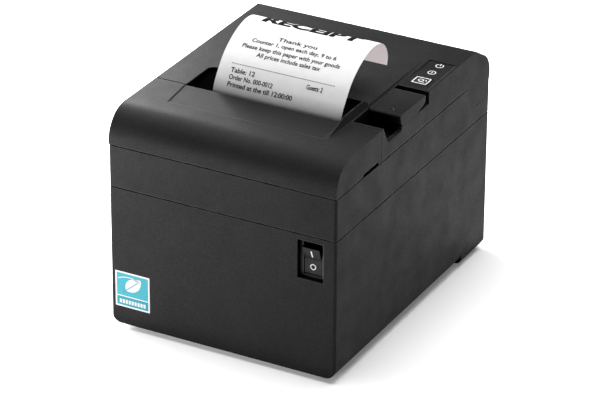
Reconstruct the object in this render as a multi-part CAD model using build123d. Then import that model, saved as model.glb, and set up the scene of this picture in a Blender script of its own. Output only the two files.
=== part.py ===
from build123d import *
import math
import os

# Receipt printer, in millimetres. +Z is up, +X is the right-hand side seen from the front, the front faces -Y.
# The origin is on the table under the middle of the case.

# Overall case
CASE_W = 140.0
CASE_D = 186.4
TOP_Z = 131.2
BASE_Z = 3.2
SKIRT_Z = 0.4
SKIRT_Y = 62.0
LOWER_SEAM_Z = 86.75
UPPER_SEAM_Z = 111.85
WALL = 2.5
FLOOR_Z = 6.0
CORNER_R = 1.5
BOTTOM_R = 6.0
INNER_R = 1.5
REAR_BOTTOM_R = 8.0
SEAM_GAP = 0.6
SEAM_DEPTH = 1.2
HALF_W = CASE_W / 2
HALF_D = CASE_D / 2
INNER_X = HALF_W - WALL
INNER_Y = HALF_D - WALL

# Front cover
COVER_SPLIT_Y = -41.9
FRONT_R = 17.4
TOP_WALL = 2.4
TRAY_DEPTH = 0.3
FIN_H = 3.4
NOTCH_H = 1.8

# Paper cover and its hinge
LID_FRONT_Y = COVER_SPLIT_Y + SEAM_GAP
LID_BOTTOM_Z = UPPER_SEAM_Z + SEAM_GAP
HINGE_Y = 78.3
HINGE_Z = 112.0
BARREL_R = 14.6
BARREL_GAP = 0.3
BARREL_IN_R = BARREL_R - TOP_WALL
LID_REAR_TOP_Y = 74.5
REAR_WALL_TOP_Z = 106.0
LID_LIP_Z = 107.2
HINGE_PIN_R = 2.5
PIN_CLEAR = 0.05
EAR_X0 = 57.0
EAR_X1 = 61.6
BOSS_X0 = 62.2

# Paper and its slot
PAPER_X0 = -36.0
PAPER_X1 = 43.5
PAPER_T = 0.15
PAPER_Y = -38.65
SLOT_X0 = -51.0
SLOT_X1 = 47.1
SLOT_REAR_Y = -14.0
CUT_Z = 119.85

# Paper roll and bucket
ROLL_R = 38.0
ROLL_Y = 24.0
ROLL_Z = 60.35
CORE_R = 9.0
CORE_IN_R = 6.3
BUCKET_R = 40.0
BUCKET_Z = 62.0
BUCKET_T = 2.0
BUCKET_X0 = PAPER_X0 - BUCKET_T
BUCKET_X1 = PAPER_X1 + BUCKET_T
DECK_Z = 94.3
DECK_T = 2.0

# Platen
PLATEN_R = 6.0
NIP_GAP = 0.25
PLATEN_Y = PAPER_Y + NIP_GAP + PLATEN_R
PLATEN_Z = 108.5
SHAFT_R = 2.5
RUN_CLEAR = 0.05
ARM_LEFT_X = -44.0
ARM_RIGHT_X = 48.5
ARM_T = 1.5
BRACKET_GAP = 2.4
BRACKET_WEB_Y = PLATEN_Y + PLATEN_R + BRACKET_GAP

# Gears
MODULE = 0.8
PLATEN_TEETH = 20
IDLER_TEETH = 30
MOTOR_TEETH = 12
GEAR_X0 = -55.5
GEAR_X1 = -51.5
IDLER_ANGLE = -110.0
PINION_ANGLE = 210.0
PRESSURE_ANGLE = 20.0
BACKLASH = 0.12

# Print head
HEAD_GAP = 0.05
HEAD_T = 1.5
HEAD_Z0 = 99.0
HEAD_Z1 = 116.0
HEAD_PIVOT_Y = -43.6
HEAD_PIVOT_Z = 98.4
HEAD_ROD_R = 1.5

# Mechanism frame
FRAME_X0 = -50.5
FRAME_X1 = 51.0
FRAME_T = 1.5
FRAME_Y0 = -86.0
FRAME_LOW_Y0 = -72.0
FRAME_Y1 = -27.0
FRAME_Z0 = 58.0
FRAME_TOP_Z = 117.9

# Cutter
BLADE_T = 1.0
BLADE_GAP = 0.1
CUTTER_FLOOR_Z = 119.8
BLADE_X0 = -39.0
BLADE_X1 = 46.5
BLADE_REAR_Y = -39.6
BLADE_FRONT_Y = -60.0
RACK_FRONT_Y = -88.0
CUTTER_TEETH = 14
CUTTER_X = 10.0
CUTTER_Y = -72.0

# Cover lever
LEVER_X0 = 50.9
LEVER_Y0 = -19.9
LEVER_Y1 = 10.6
LEVER_TOP_Z = 130.6
LEVER_LOW_Z = 123.9
LEVER_EDGE_R = 1.2
LEVER_PIVOT_Y = 4.0
LEVER_PIVOT_Z = 120.0
LEVER_PIN_R = 1.5
LEVER_GAP_Y = 15.2
RECESS_X0 = 51.0
RECESS_Y0 = -39.2
RECESS_Y1 = -12.0
RECESS_FLOOR_Z = 118.0
WELL_T = 1.5
ARM_X0 = 52.0
ARM_X1 = 58.0
LATCH_Y = 9.5
LATCH_Z = 106.0
LATCH_R = 1.5

# Control panel
PANEL_X0 = 51.7
PANEL_X1 = 68.1
PANEL_Y0 = 16.0
PANEL_Y1 = 52.6
PANEL_Z = 130.6
PANEL_T = 0.15
PANEL_BOARD_GAP = 0.3
KEY_X0 = 54.9
KEY_X1 = 64.8
KEY_Y0 = 21.5
KEY_Y1 = 30.3
KEY_GAP = 0.3
KEY_TOP_Z = 131.0
KEY_TRAVEL = 0.7
PIPE_R = 1.6
PIPE_X = 60.0
PIPE_YS = (48.2, 38.4)
STRIP_DROP = 0.8
STRIP_X = 48.8

# Power switch
SWITCH_X0 = 46.7
SWITCH_X1 = 62.5
SWITCH_Z0 = 60.6
SWITCH_Z1 = 83.7
SWITCH_DEPTH = 4.0
SWITCH_WALL = 2.0
ROCKER_TILT = 11.0

# Label on the front
LABEL_X0 = -67.3
LABEL_Z0 = 14.0
LABEL_SIZE = 21.8
LABEL_T = 0.2

# Circuit board and ports
BOARD_Z = 12.0
BOARD_T = 1.6
BOARD_X = 55.0
BOARD_Y0 = -42.0
BOARD_Y1 = 86.0
PORT_Z0 = BOARD_Z + BOARD_T
PORT_FACE_Y = 92.0
PLATE_T = 1.2
WINDOW_X = 55.0
WINDOW_Z0 = 11.0
WINDOW_Z1 = 31.0
PORT_GAP = 0.3

# Feet and screws
FOOT_R = 6.5
FOOT_SINK = 1.0
FOOT_SPOTS = ((-54.0, -78.0), (54.0, -78.0), (-54.0, 50.0), (54.0, 50.0))
PILLAR_X = 61.5
PILLAR_YS = (-70.0, 84.0)
PILLAR_R = 4.0
SCREW_R = 1.3
SCREW_HEAD_R = 3.0


def block(x0, x1, y0, y1, z0, z1):
    """A box from its low corner to its high corner."""
    centre = ((x0 + x1) / 2, (y0 + y1) / 2, (z0 + z1) / 2)
    return Pos(*centre) * Box(x1 - x0, y1 - y0, z1 - z0)


def rod_x(radius, x0, x1, y, z):
    """A round bar along X."""
    return Pos((x0 + x1) / 2, y, z) * Rot(0, 90, 0) * Cylinder(radius, x1 - x0)


def rod_y(radius, y0, y1, x, z):
    """A round bar along Y."""
    return Pos(x, (y0 + y1) / 2, z) * Rot(90, 0, 0) * Cylinder(radius, y1 - y0)


def rod_z(radius, z0, z1, x, y):
    """A round bar along Z."""
    return Pos(x, y, (z0 + z1) / 2) * Cylinder(radius, z1 - z0)


def side_prism(points, x0, x1):
    """A closed outline of (y, z) points, extruded along X."""
    outline = Polyline(*[(x0, y, z) for y, z in points], close=True)
    return extrude(make_face(outline), amount=x1 - x0, dir=(1, 0, 0))


def front_prism(points, y0, y1):
    """A closed outline of (x, z) points, extruded along Y."""
    outline = Polyline(*[(x, y0, z) for x, z in points], close=True)
    return extrude(make_face(outline), amount=y1 - y0, dir=(0, 1, 0))


def plan_prism(points, z0, z1):
    """A closed outline of (x, y) points, extruded along Z."""
    outline = Polyline(*[(x, y, z0) for x, y in points], close=True)
    return extrude(make_face(outline), amount=z1 - z0, dir=(0, 0, 1))


def arc_points(y, z, radius, start, end, steps=16):
    """Points on an arc in the side view, angles in degrees from +Y towards +Z."""
    angles = [math.radians(start + (end - start) * i / steps) for i in range(steps + 1)]
    return [(y + radius * math.cos(a), z + radius * math.sin(a)) for a in angles]


def rounded_plan(inset, radius, z0, z1):
    """The case's outline seen from above, moved in by inset and extruded."""
    sketch = RectangleRounded(CASE_W - 2 * inset, CASE_D - 2 * inset, radius)
    return Pos(0, 0, z0) * extrude(sketch, amount=z1 - z0)


def trough_section(inset, low, high, radius, y0, y1):
    """A length of tub whose two long bottom edges are rounded."""
    body = block(-HALF_W + inset, HALF_W - inset, y0, y1, low, high)
    edges = body.edges().filter_by(Axis.Y).group_by(Axis.Z)[0]
    return fillet(edges, radius)


def gear_outline(teeth, angle, backlash):
    """Involute tooth outline points, one tooth centred on the angle in degrees."""
    pitch_r = MODULE * teeth / 2
    base_r = pitch_r * math.cos(math.radians(PRESSURE_ANGLE))
    tip_r = pitch_r + 0.9 * MODULE
    root_r = pitch_r - 1.15 * MODULE
    pressure = math.radians(PRESSURE_ANGLE)
    involute = math.tan(pressure) - pressure
    half = math.pi / (2 * teeth) - backlash / (4 * pitch_r) + involute
    points = []
    for tooth in range(teeth):
        middle = math.radians(angle) + 2 * math.pi * tooth / teeth
        flank = []
        for step in range(5):
            r = max(base_r, root_r) + (tip_r - max(base_r, root_r)) * step / 4
            roll = math.acos(base_r / r)
            flank.append((r, half - (math.tan(roll) - roll)))
        sides = [(root_r, half + 0.02)] + flank
        for r, offset in sides:
            points.append((r * math.cos(middle - offset), r * math.sin(middle - offset)))
        for r, offset in reversed(sides):
            points.append((r * math.cos(middle + offset), r * math.sin(middle + offset)))
    return points


def spur_x(teeth, angle, y, z):
    """A spur gear on an axis along X."""
    points = [(y + a, z + b) for a, b in gear_outline(teeth, angle, BACKLASH)]
    return side_prism(points, GEAR_X0, GEAR_X1)


def keep(shape, node):
    """Write one node."""
    export_step(shape, f"parts/{node}.step")


def gear_train():
    """Centres and tooth phases of the platen gear, the idler and the motor pinion."""
    reach = MODULE * (PLATEN_TEETH + IDLER_TEETH) / 2
    idler_y = PLATEN_Y + reach * math.cos(math.radians(IDLER_ANGLE))
    idler_z = PLATEN_Z + reach * math.sin(math.radians(IDLER_ANGLE))
    idler_phase = IDLER_ANGLE + 180 + 180 / IDLER_TEETH
    reach = MODULE * (IDLER_TEETH + MOTOR_TEETH) / 2
    pinion_y = idler_y + reach * math.cos(math.radians(PINION_ANGLE))
    pinion_z = idler_z + reach * math.sin(math.radians(PINION_ANGLE))
    lag = (PINION_ANGLE - idler_phase) % (360 / IDLER_TEETH)
    pinion_phase = PINION_ANGLE + 180 + 180 / MOTOR_TEETH + lag * IDLER_TEETH / MOTOR_TEETH
    return (idler_y, idler_z, idler_phase), (pinion_y, pinion_z, pinion_phase)


IDLER, PINION = gear_train()


def lower_case():
    """Deep tub with the feet recesses, the switch pocket, the port window and the board posts."""
    main = trough_section(0, BASE_Z, LOWER_SEAM_Z, BOTTOM_R, -HALF_D, HALF_D)
    skirt = trough_section(0, SKIRT_Z, FLOOR_Z + BOTTOM_R, BOTTOM_R, SKIRT_Y, HALF_D)
    ramp = [(SKIRT_Y, SKIRT_Z - 1), (SKIRT_Y, BASE_Z), (SKIRT_Y + BASE_Z, SKIRT_Z - 1)]
    body = main + skirt - side_prism(ramp, -HALF_W - 1, HALF_W + 1)
    body &= rounded_plan(0, CORNER_R, 0, LOWER_SEAM_Z)
    corner = [(HALF_D + 1, -1), (HALF_D + 1, SKIRT_Z + REAR_BOTTOM_R)]
    corner += arc_points(HALF_D - REAR_BOTTOM_R, SKIRT_Z + REAR_BOTTOM_R, REAR_BOTTOM_R, 0, -90)
    corner += [(HALF_D - REAR_BOTTOM_R, -1)]
    body -= side_prism(corner, -HALF_W - 1, HALF_W + 1)
    body -= trough_section(WALL, FLOOR_Z, LOWER_SEAM_Z + 1, INNER_R, -INNER_Y, INNER_Y)
    pocket = block(SWITCH_X0 - SWITCH_WALL, SWITCH_X1 + SWITCH_WALL, -HALF_D + 1,
                   -HALF_D + SWITCH_DEPTH + SWITCH_WALL, SWITCH_Z0 - SWITCH_WALL, SWITCH_Z1 + SWITCH_WALL)
    body += pocket
    body -= block(SWITCH_X0, SWITCH_X1, -HALF_D - 1, -HALF_D + SWITCH_DEPTH, SWITCH_Z0, SWITCH_Z1)
    body -= switch_block(0, -HALF_D, -HALF_D + SWITCH_DEPTH + SWITCH_WALL + 1)
    body -= block(-WINDOW_X, WINDOW_X, INNER_Y - 1, HALF_D + 1, WINDOW_Z0, WINDOW_Z1)
    body -= block(LABEL_X0, LABEL_X0 + LABEL_SIZE, -HALF_D - 1, -HALF_D + LABEL_T,
                  LABEL_Z0, LABEL_Z0 + LABEL_SIZE)
    for x in (-BOARD_X + 6, BOARD_X - 6):
        for y in (BOARD_Y0 + 6, BOARD_Y1 - 14):
            body += rod_z(3.0, FLOOR_Z - 1, BOARD_Z, x, y)
    for x in (FRAME_X0 + 6, FRAME_X1 - 6):
        for y in (FRAME_LOW_Y0 + 4, -50.0):
            body += rod_z(4.0, FLOOR_Z - 1, FRAME_Z0, x, y)
    for x, y in FOOT_SPOTS:
        body -= rod_z(FOOT_R, 0, BASE_Z + FOOT_SINK, x, y)
    for x in (-PILLAR_X, PILLAR_X):
        for y in PILLAR_YS:
            body -= rod_z(SCREW_R + 0.3, -1, FLOOR_Z + 1, x, y)
            body -= rod_z(SCREW_HEAD_R + 0.3, -1, BASE_Z + 1.2, x, y)
    return body


def switch_block(inset, y0, y1):
    """The power switch's body outline behind its pocket."""
    return block(SWITCH_X0 + 1.0 + inset, SWITCH_X1 - 1.0 - inset, y0, y1,
                 SWITCH_Z0 + 1.0 + inset, SWITCH_Z1 - 1.0 - inset)


def upper_case():
    """Band between the two seams, with the hinge ears, the rear deck and the screw pillars."""
    body = rounded_plan(0, CORNER_R, LOWER_SEAM_Z, UPPER_SEAM_Z)
    body -= rounded_plan(WALL, 0.5, LOWER_SEAM_Z - 1, UPPER_SEAM_Z + 1)
    groove = rounded_plan(-1, CORNER_R, LOWER_SEAM_Z, LOWER_SEAM_Z + SEAM_GAP)
    groove -= rounded_plan(SEAM_DEPTH, CORNER_R / 2, LOWER_SEAM_Z - 1, LOWER_SEAM_Z + 1)
    body -= groove
    body += block(-INNER_X, INNER_X, SKIRT_Y, INNER_Y, DECK_Z, DECK_Z + DECK_T)
    body -= block(-HALF_W - 1, HALF_W + 1, HINGE_Y, HALF_D + 1, REAR_WALL_TOP_Z, TOP_Z)
    body -= rod_x(BARREL_R + BARREL_GAP, -HALF_W - 1, HALF_W + 1, HINGE_Y, HINGE_Z)
    ear = [(SKIRT_Y, DECK_Z), (72.6, DECK_Z), (72.6, 101.6), (75.0, 104.0)]
    ear += arc_points(HINGE_Y, HINGE_Z, 5.4, -34, 150)
    ear += [(SKIRT_Y, 102.0)]
    for side in (-1, 1):
        low, high = sorted((side * EAR_X0, side * EAR_X1))
        body += side_prism(ear, low, high)
        body -= rod_x(HINGE_PIN_R, low - 1, high + 1, HINGE_Y, HINGE_Z)
        low, high = sorted((side * PILLAR_X, side * (INNER_X + 0.5)))
        body += block(low, high, PILLAR_YS[0] - 1.5, PILLAR_YS[0] + 1.5, LOWER_SEAM_Z + 2, UPPER_SEAM_Z - 2)
        body += rod_z(PILLAR_R, FLOOR_Z, UPPER_SEAM_Z - 2, side * PILLAR_X, PILLAR_YS[0])
        body += rod_z(PILLAR_R, FLOOR_Z, DECK_Z + 0.5, side * PILLAR_X, PILLAR_YS[1])
        for y in PILLAR_YS:
            body -= rod_z(SCREW_R, 0, FLOOR_Z + 12, side * PILLAR_X, y)
    return body


def front_cover():
    """Rounded cover over the cutter, with the shallow paper tray and the small fin beside it."""
    body = block(-HALF_W, HALF_W, -HALF_D, COVER_SPLIT_Y, UPPER_SEAM_Z, TOP_Z)
    edge = body.edges().filter_by(Axis.X).group_by(Axis.Z)[-1].sort_by(Axis.Y)[0]
    body = fillet(edge, FRONT_R)
    inner = block(-INNER_X, INNER_X, -HALF_D + TOP_WALL, COVER_SPLIT_Y - 2, UPPER_SEAM_Z - 1, TOP_Z - TOP_WALL)
    edge = inner.edges().filter_by(Axis.X).group_by(Axis.Z)[-1].sort_by(Axis.Y)[0]
    body -= fillet(edge, FRONT_R - TOP_WALL)
    body -= block(-INNER_X, INNER_X, COVER_SPLIT_Y - 3, COVER_SPLIT_Y + 1, UPPER_SEAM_Z - 1, CUT_Z + 3.6)
    groove = block(-HALF_W - 1, HALF_W + 1, -HALF_D - 1, COVER_SPLIT_Y + 1, UPPER_SEAM_Z - 1, LID_BOTTOM_Z)
    groove -= block(-HALF_W + SEAM_DEPTH, HALF_W - SEAM_DEPTH, -HALF_D + SEAM_DEPTH, 0, 0, TOP_Z)
    body -= groove
    for side in (-1, 1):
        low, high = sorted((side * (HALF_W - 1.2), side * (HALF_W + 1)))
        body -= block(low, high, -62.7, -45.0, LID_BOTTOM_Z - 0.1, LID_BOTTOM_Z + NOTCH_H)
    tray = [(-48.6, -65.5), (SLOT_X1, -65.5), (SLOT_X1, COVER_SPLIT_Y + 1), (-51.4, COVER_SPLIT_Y + 1)]
    body -= plan_prism(tray, TOP_Z - TRAY_DEPTH, TOP_Z + 1)
    sill = TOP_Z - 0.5
    rear = Polyline((SLOT_X1, COVER_SPLIT_Y, sill), (SLOT_X1 + 3.8, COVER_SPLIT_Y, sill),
                    (SLOT_X1, COVER_SPLIT_Y, TOP_Z + FIN_H), close=True)
    tip = Polyline((SLOT_X1 + 1.9, -65.0, sill), (SLOT_X1 + 2.6, -65.0, sill),
                   (SLOT_X1 + 1.9, -65.0, TOP_Z), close=True)
    return body + loft([make_face(tip), make_face(rear)])


def lid_outline(radius, top, front):
    """The paper cover's side view: flat top, sloping rear shoulder and round rear."""
    dy = LID_REAR_TOP_Y - HINGE_Y
    dz = top - HINGE_Z
    lean = math.degrees(math.atan2(dz, dy)) - math.degrees(math.acos(radius / math.hypot(dy, dz)))
    points = [(front, HINGE_Z), (front, top), (LID_REAR_TOP_Y, top)]
    return points + arc_points(HINGE_Y, HINGE_Z, radius, lean, 0, 24)


def paper_cover():
    """Hinged cover with the paper slot, finger recess, lever well and panel recess."""
    body = side_prism(lid_outline(BARREL_R, TOP_Z, LID_FRONT_Y), -HALF_W, HALF_W)
    cavity = lid_outline(BARREL_IN_R, TOP_Z - TOP_WALL, LID_FRONT_Y + TOP_WALL)
    body += block(-HALF_W, HALF_W, LID_FRONT_Y, HINGE_Y, LID_BOTTOM_Z, HINGE_Z + 1)
    body += rod_x(BARREL_R, -HALF_W, HALF_W, HINGE_Y, HINGE_Z)
    body -= block(-HALF_W - 1, HALF_W + 1, LID_FRONT_Y - 1, HINGE_Y - BARREL_R, HINGE_Z - 1, LID_BOTTOM_Z)
    body -= side_prism(cavity, -INNER_X, INNER_X)
    body -= rod_x(BARREL_IN_R, -INNER_X, INNER_X, HINGE_Y, HINGE_Z)
    body -= block(-INNER_X, INNER_X, HINGE_Y - BARREL_R - 1, HINGE_Y, HINGE_Z - BARREL_R - 1, HINGE_Z + 0.5)
    body -= block(-INNER_X, INNER_X, HINGE_Y - 1, HALF_D, HINGE_Z - BARREL_R - 1, LID_LIP_Z)
    body -= block(-INNER_X, INNER_X, LID_FRONT_Y + TOP_WALL, HINGE_Y, LID_BOTTOM_Z - 2, HINGE_Z + 1)
    for side in (-1, 1):
        low, high = sorted((side * BOSS_X0, side * (INNER_X + 1)))
        body += rod_x(5.4, low, high, HINGE_Y, HINGE_Z)
        low, high = sorted((side * (BOSS_X0 - 1), side * (INNER_X - 1)))
        body -= rod_x(HINGE_PIN_R + PIN_CLEAR, low, high, HINGE_Y, HINGE_Z)
    body -= block(GEAR_X0 - 1.5, SLOT_X0, LID_FRONT_Y - 1, 0, LID_BOTTOM_Z - 1, PLATEN_Z + 11)
    body = cut_slot(body)
    body = cut_panel(body)
    return cut_lever_well(body)


def cut_slot(body):
    """The paper slot, its sloping guide, the rim on its right and the ribs that carry the platen bracket."""
    corner = 4.0
    mouth = block(SLOT_X0, SLOT_X1, LID_FRONT_Y - 1, SLOT_REAR_Y, LID_BOTTOM_Z - 2, TOP_Z + 1)
    edge = mouth.edges().filter_by(Axis.Z).sort_by(Axis.Y)[-2:].sort_by(Axis.X)[0]
    body -= fillet(edge, corner)
    guide_y = PAPER_Y + PAPER_T
    guide = [(SLOT_REAR_Y, TOP_Z - 1), (SLOT_REAR_Y, TOP_Z - TOP_WALL), (guide_y, CUT_Z + 3.0),
             (guide_y, CUT_Z + 1.35), (guide_y + 2.5, CUT_Z + 1.35), (SLOT_REAR_Y + 2, TOP_Z - TOP_WALL - 1.8),
             (SLOT_REAR_Y + 2, TOP_Z - 1)]
    body += side_prism(guide, SLOT_X0 - 1.5, SLOT_X1 + 1.5)
    for low, high in ((SLOT_X0 - 1.5, SLOT_X0), (SLOT_X1, SLOT_X1 + 1.5)):
        body += block(low, high, LID_FRONT_Y, SLOT_REAR_Y + 2, CUT_Z + 1.35, TOP_Z)
    rim = [(SLOT_X1, TOP_Z - 0.5), (SLOT_X1 + 3.8, TOP_Z - 0.5), (SLOT_X1, TOP_Z + FIN_H)]
    rim = front_prism(rim, LID_FRONT_Y, SLOT_REAR_Y - 3)
    slope = [(SLOT_REAR_Y - 6.0, TOP_Z + FIN_H + 1), (SLOT_REAR_Y - 2, TOP_Z), (SLOT_REAR_Y, TOP_Z + FIN_H + 1)]
    body += rim - side_prism(slope, SLOT_X1 - 1, SLOT_X1 + 6)
    for x in (-28.0, 34.0):
        body += block(x - 2, x + 2, SLOT_REAR_Y + 1, SLOT_REAR_Y + 12, CUT_Z + 4.15, TOP_Z - 1)
    return body


def cut_panel(body):
    """The lowered right-hand strip, the panel recess, the key opening and the light pipe holes."""
    run = PANEL_Y1 + 2 - (SLOT_REAR_Y - 4)
    tilt = math.degrees(math.atan2(STRIP_DROP, run))
    above = Pos(0, PANEL_Y1 + 2, TOP_Z) * Rot(tilt, 0, 0) * Pos(0, 0, 20) * Box(300, 300, 40)
    bevel = Pos(STRIP_X, 0, TOP_Z) * Rot(0, 32, 0) * Pos(0, 0, 20) * Box(300, 300, 40)
    strip = block(STRIP_X - 2, HALF_W + 1, SLOT_REAR_Y - 4, PANEL_Y1 + 2, TOP_Z - 2, TOP_Z + 1)
    body -= above & bevel & strip
    recess = block(PANEL_X0, PANEL_X1, PANEL_Y0, PANEL_Y1, PANEL_Z, TOP_Z + 1)
    body -= recess
    body -= block(KEY_X0 - KEY_GAP, KEY_X1 + KEY_GAP, KEY_Y0 - KEY_GAP, KEY_Y1 + KEY_GAP, TOP_Z - 4, TOP_Z + 1)
    for y in PIPE_YS:
        body -= rod_z(PIPE_R, TOP_Z - 4, TOP_Z + 1, PIPE_X, y)
    for x, y in board_posts():
        body += rod_z(1.8, 123.6, TOP_Z - TOP_WALL + 0.5, x, y)
    return body


def board_posts():
    """Where the small panel board hangs from the cover."""
    return ((53.5, 34.5), (66.0, 34.5), (53.5, 50.0), (66.0, 50.0))


def recess_side():
    """The finger recess where it opens through the cover's right side."""
    return [(RECESS_Y0, TOP_Z + 2), (RECESS_Y0, TOP_Z), (RECESS_Y0 + 1.6, 126.8), (RECESS_Y0 + 4.4, 121.8),
            (RECESS_Y0 + 5.8, 121.1), (-19.6, 120.8), (-18.2, 121.4), (-17.9, 122.6), (-17.9, TOP_Z + 2)]


def cut_lever_well(body):
    """The finger recess tub, the well that the lever turns in, and the lever's bearings."""
    inner = STRIP_X + 0.7
    well_z = RECESS_FLOOR_Z - WELL_T - 2
    body += block(inner, INNER_X + 0.5, LID_FRONT_Y, RECESS_Y1 + WELL_T, RECESS_FLOOR_Z - WELL_T, TOP_Z - 1)
    body += block(inner, INNER_X + 0.5, RECESS_Y1, LEVER_GAP_Y + WELL_T, well_z, TOP_Z - 1)
    body -= block(RECESS_X0, INNER_X, RECESS_Y0, RECESS_Y1, RECESS_FLOOR_Z, TOP_Z + 2)
    body -= block(RECESS_X0, INNER_X, RECESS_Y1 - 1, RECESS_Y1 + WELL_T + 1, RECESS_FLOOR_Z + 3, TOP_Z + 2)
    body -= block(RECESS_X0, INNER_X, RECESS_Y1 + WELL_T, LEVER_GAP_Y, well_z + WELL_T, TOP_Z + 2)
    body -= block(LEVER_X0 - 0.3, HALF_W + 1, LEVER_Y0 - 0.3, LEVER_GAP_Y, LEVER_LOW_Z - 0.3, TOP_Z + 2)
    body -= block(RECESS_X0, HALF_W + 1, RECESS_Y0, LEVER_Y0, TOP_Z - 2, TOP_Z + 2)
    body -= side_prism(recess_side(), INNER_X - 1, HALF_W + 1)
    body -= block(ARM_X0 - 0.6, ARM_X1 + 0.6, -4.0, LEVER_PIVOT_Y + 6, well_z - 1, well_z + WELL_T + 1)
    body += block(60.0, 62.0, LEVER_PIVOT_Y - 3, LEVER_PIVOT_Y + 3, well_z + 1, LEVER_PIVOT_Z + 3)
    body -= rod_x(LEVER_PIN_R, inner - 1, 63.0, LEVER_PIVOT_Y, LEVER_PIVOT_Z)
    return body


def cover_lever():
    """Lever that opens the paper cover: top plate, front lip, side cheek, and the arm with its latch nose."""
    cheek = [(LEVER_Y0, LEVER_TOP_Z), (LEVER_Y0 + 1.7, LEVER_LOW_Z + 1.1), (LEVER_Y0 + 2.9, LEVER_LOW_Z),
             (1.5, LEVER_LOW_Z), (LEVER_Y1 - 0.2, 126.5), (LEVER_Y1, LEVER_TOP_Z)]
    body = side_prism(cheek, LEVER_X0, HALF_W)
    edge = body.edges().filter_by(Axis.X).group_by(Axis.Z)[-1].sort_by(Axis.Y)[0]
    body = fillet(edge, LEVER_EDGE_R)
    hollow = [(LEVER_Y0 + 2.4, 128.4), (LEVER_Y0 + 3.4, LEVER_LOW_Z - 1), (LEVER_Y1 - 2, LEVER_LOW_Z - 1),
              (LEVER_Y1 - 2, 128.4)]
    body -= side_prism(hollow, LEVER_X0 + 1.6, INNER_X)
    arm = [(LEVER_PIVOT_Y - 3.2, 129.0), (LEVER_PIVOT_Y + 3.2, 129.0), (LEVER_PIVOT_Y + 3.2, LEVER_PIVOT_Z - 2),
           (LEVER_PIVOT_Y + 1.6, LATCH_Z + 2.4), (LATCH_Y - LATCH_R - 0.4, LATCH_Z + 0.6),
           (LATCH_Y - LATCH_R - 0.4, LATCH_Z - 0.6), (LATCH_Y - LATCH_R - 2.4, LATCH_Z - 2.4),
           (LEVER_PIVOT_Y - 1.6, LATCH_Z - 2.4), (LEVER_PIVOT_Y - 3.2, LEVER_PIVOT_Z - 2)]
    body += side_prism(arm, ARM_X0, ARM_X1)
    body -= rod_x(LEVER_PIN_R + PIN_CLEAR, ARM_X0 - 1, ARM_X1 + 1, LEVER_PIVOT_Y, LEVER_PIVOT_Z)
    mark = [(59.3, -14.6), (63.3, -14.6), (61.3, -12.2)]
    body -= plan_prism(mark, LEVER_TOP_Z - 0.3, LEVER_TOP_Z + 1)
    return body


def coil(radius, wire, height, turns):
    """A coil spring standing on z = 0, with its wire's ends at both end planes."""
    path = Helix(pitch=(height - 2 * wire) / turns, height=height - 2 * wire, radius=radius)
    section = Plane(origin=path @ 0, z_dir=path % 0) * Circle(wire)
    return Pos(0, 0, wire) * sweep(section, path=path)


def lever_spring():
    """Coil spring under the rear of the lever."""
    low = RECESS_FLOOR_Z - 2.0
    return Pos(64.6, LEVER_Y1 - 5.4, low) * coil(1.8, 0.3, 128.4 - low, 7)


def panel_overlay():
    """Thin printed film in the panel recess, open for the feed key."""
    film = block(PANEL_X0, PANEL_X1, PANEL_Y0, PANEL_Y1, PANEL_Z, PANEL_Z + PANEL_T)
    corner = film.edges().filter_by(Axis.Z).group_by(Axis.Y)[-1].sort_by(Axis.X)[0]
    film = fillet(corner, 2.5)
    return film - block(KEY_X0 - KEY_GAP, KEY_X1 + KEY_GAP, KEY_Y0 - KEY_GAP, KEY_Y1 + KEY_GAP, 0, TOP_Z + 1)


def feed_key():
    """Key cap with a flange under the cover that keeps it in."""
    under = TOP_Z - TOP_WALL
    cap = block(KEY_X0, KEY_X1, KEY_Y0, KEY_Y1, under - 1, KEY_TOP_Z)
    top = cap.edges().group_by(Axis.Z)[-1]
    cap = chamfer(top, 0.3)
    return cap + block(KEY_X0 - 1.2, KEY_X1 + 1.2, KEY_Y0 - 1.2, KEY_Y1 + 1.2, under - 0.9, under)


def panel_board():
    """Small board under the panel."""
    return block(52.0, INNER_X - PANEL_BOARD_GAP, 19.0, 52.0, 122.0, 123.6)


def feed_switch():
    """Push switch under the feed key."""
    y = (KEY_Y0 + KEY_Y1) / 2
    x = (KEY_X0 + KEY_X1) / 2
    body = block(x - 3, x + 3, y - 3, y + 3, 123.6, 126.4)
    return body + rod_z(1.7, 126.0, TOP_Z - TOP_WALL - 0.9 - KEY_TRAVEL - 0.1, x, y)


def power_switch_body():
    """Snap-in housing of the power switch: bezel, deep body and two blade terminals."""
    floor_y = -HALF_D + SWITCH_DEPTH
    body = block(SWITCH_X0 + 0.2, SWITCH_X1 - 0.2, floor_y - 1.0, floor_y, SWITCH_Z0 + 0.2, SWITCH_Z1 - 0.2)
    body += switch_block(0, floor_y - 0.5, floor_y + 15)
    body -= block(SWITCH_X0 + 2.4, SWITCH_X1 - 2.4, floor_y - 2, floor_y + 9, SWITCH_Z0 + 1.9, SWITCH_Z1 - 1.9)
    middle = (SWITCH_X0 + SWITCH_X1) / 2
    for z in (SWITCH_Z0 + 7, SWITCH_Z1 - 7):
        body += block(middle - 2.4, middle + 2.4, floor_y + 14, floor_y + 22, z - 0.4, z + 0.4)
    middle_z = (SWITCH_Z0 + SWITCH_Z1) / 2
    body -= rod_x(1.5 + RUN_CLEAR, SWITCH_X0 + 1.6, SWITCH_X1 - 1.6, floor_y + 2.5, middle_z)
    return body


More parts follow.
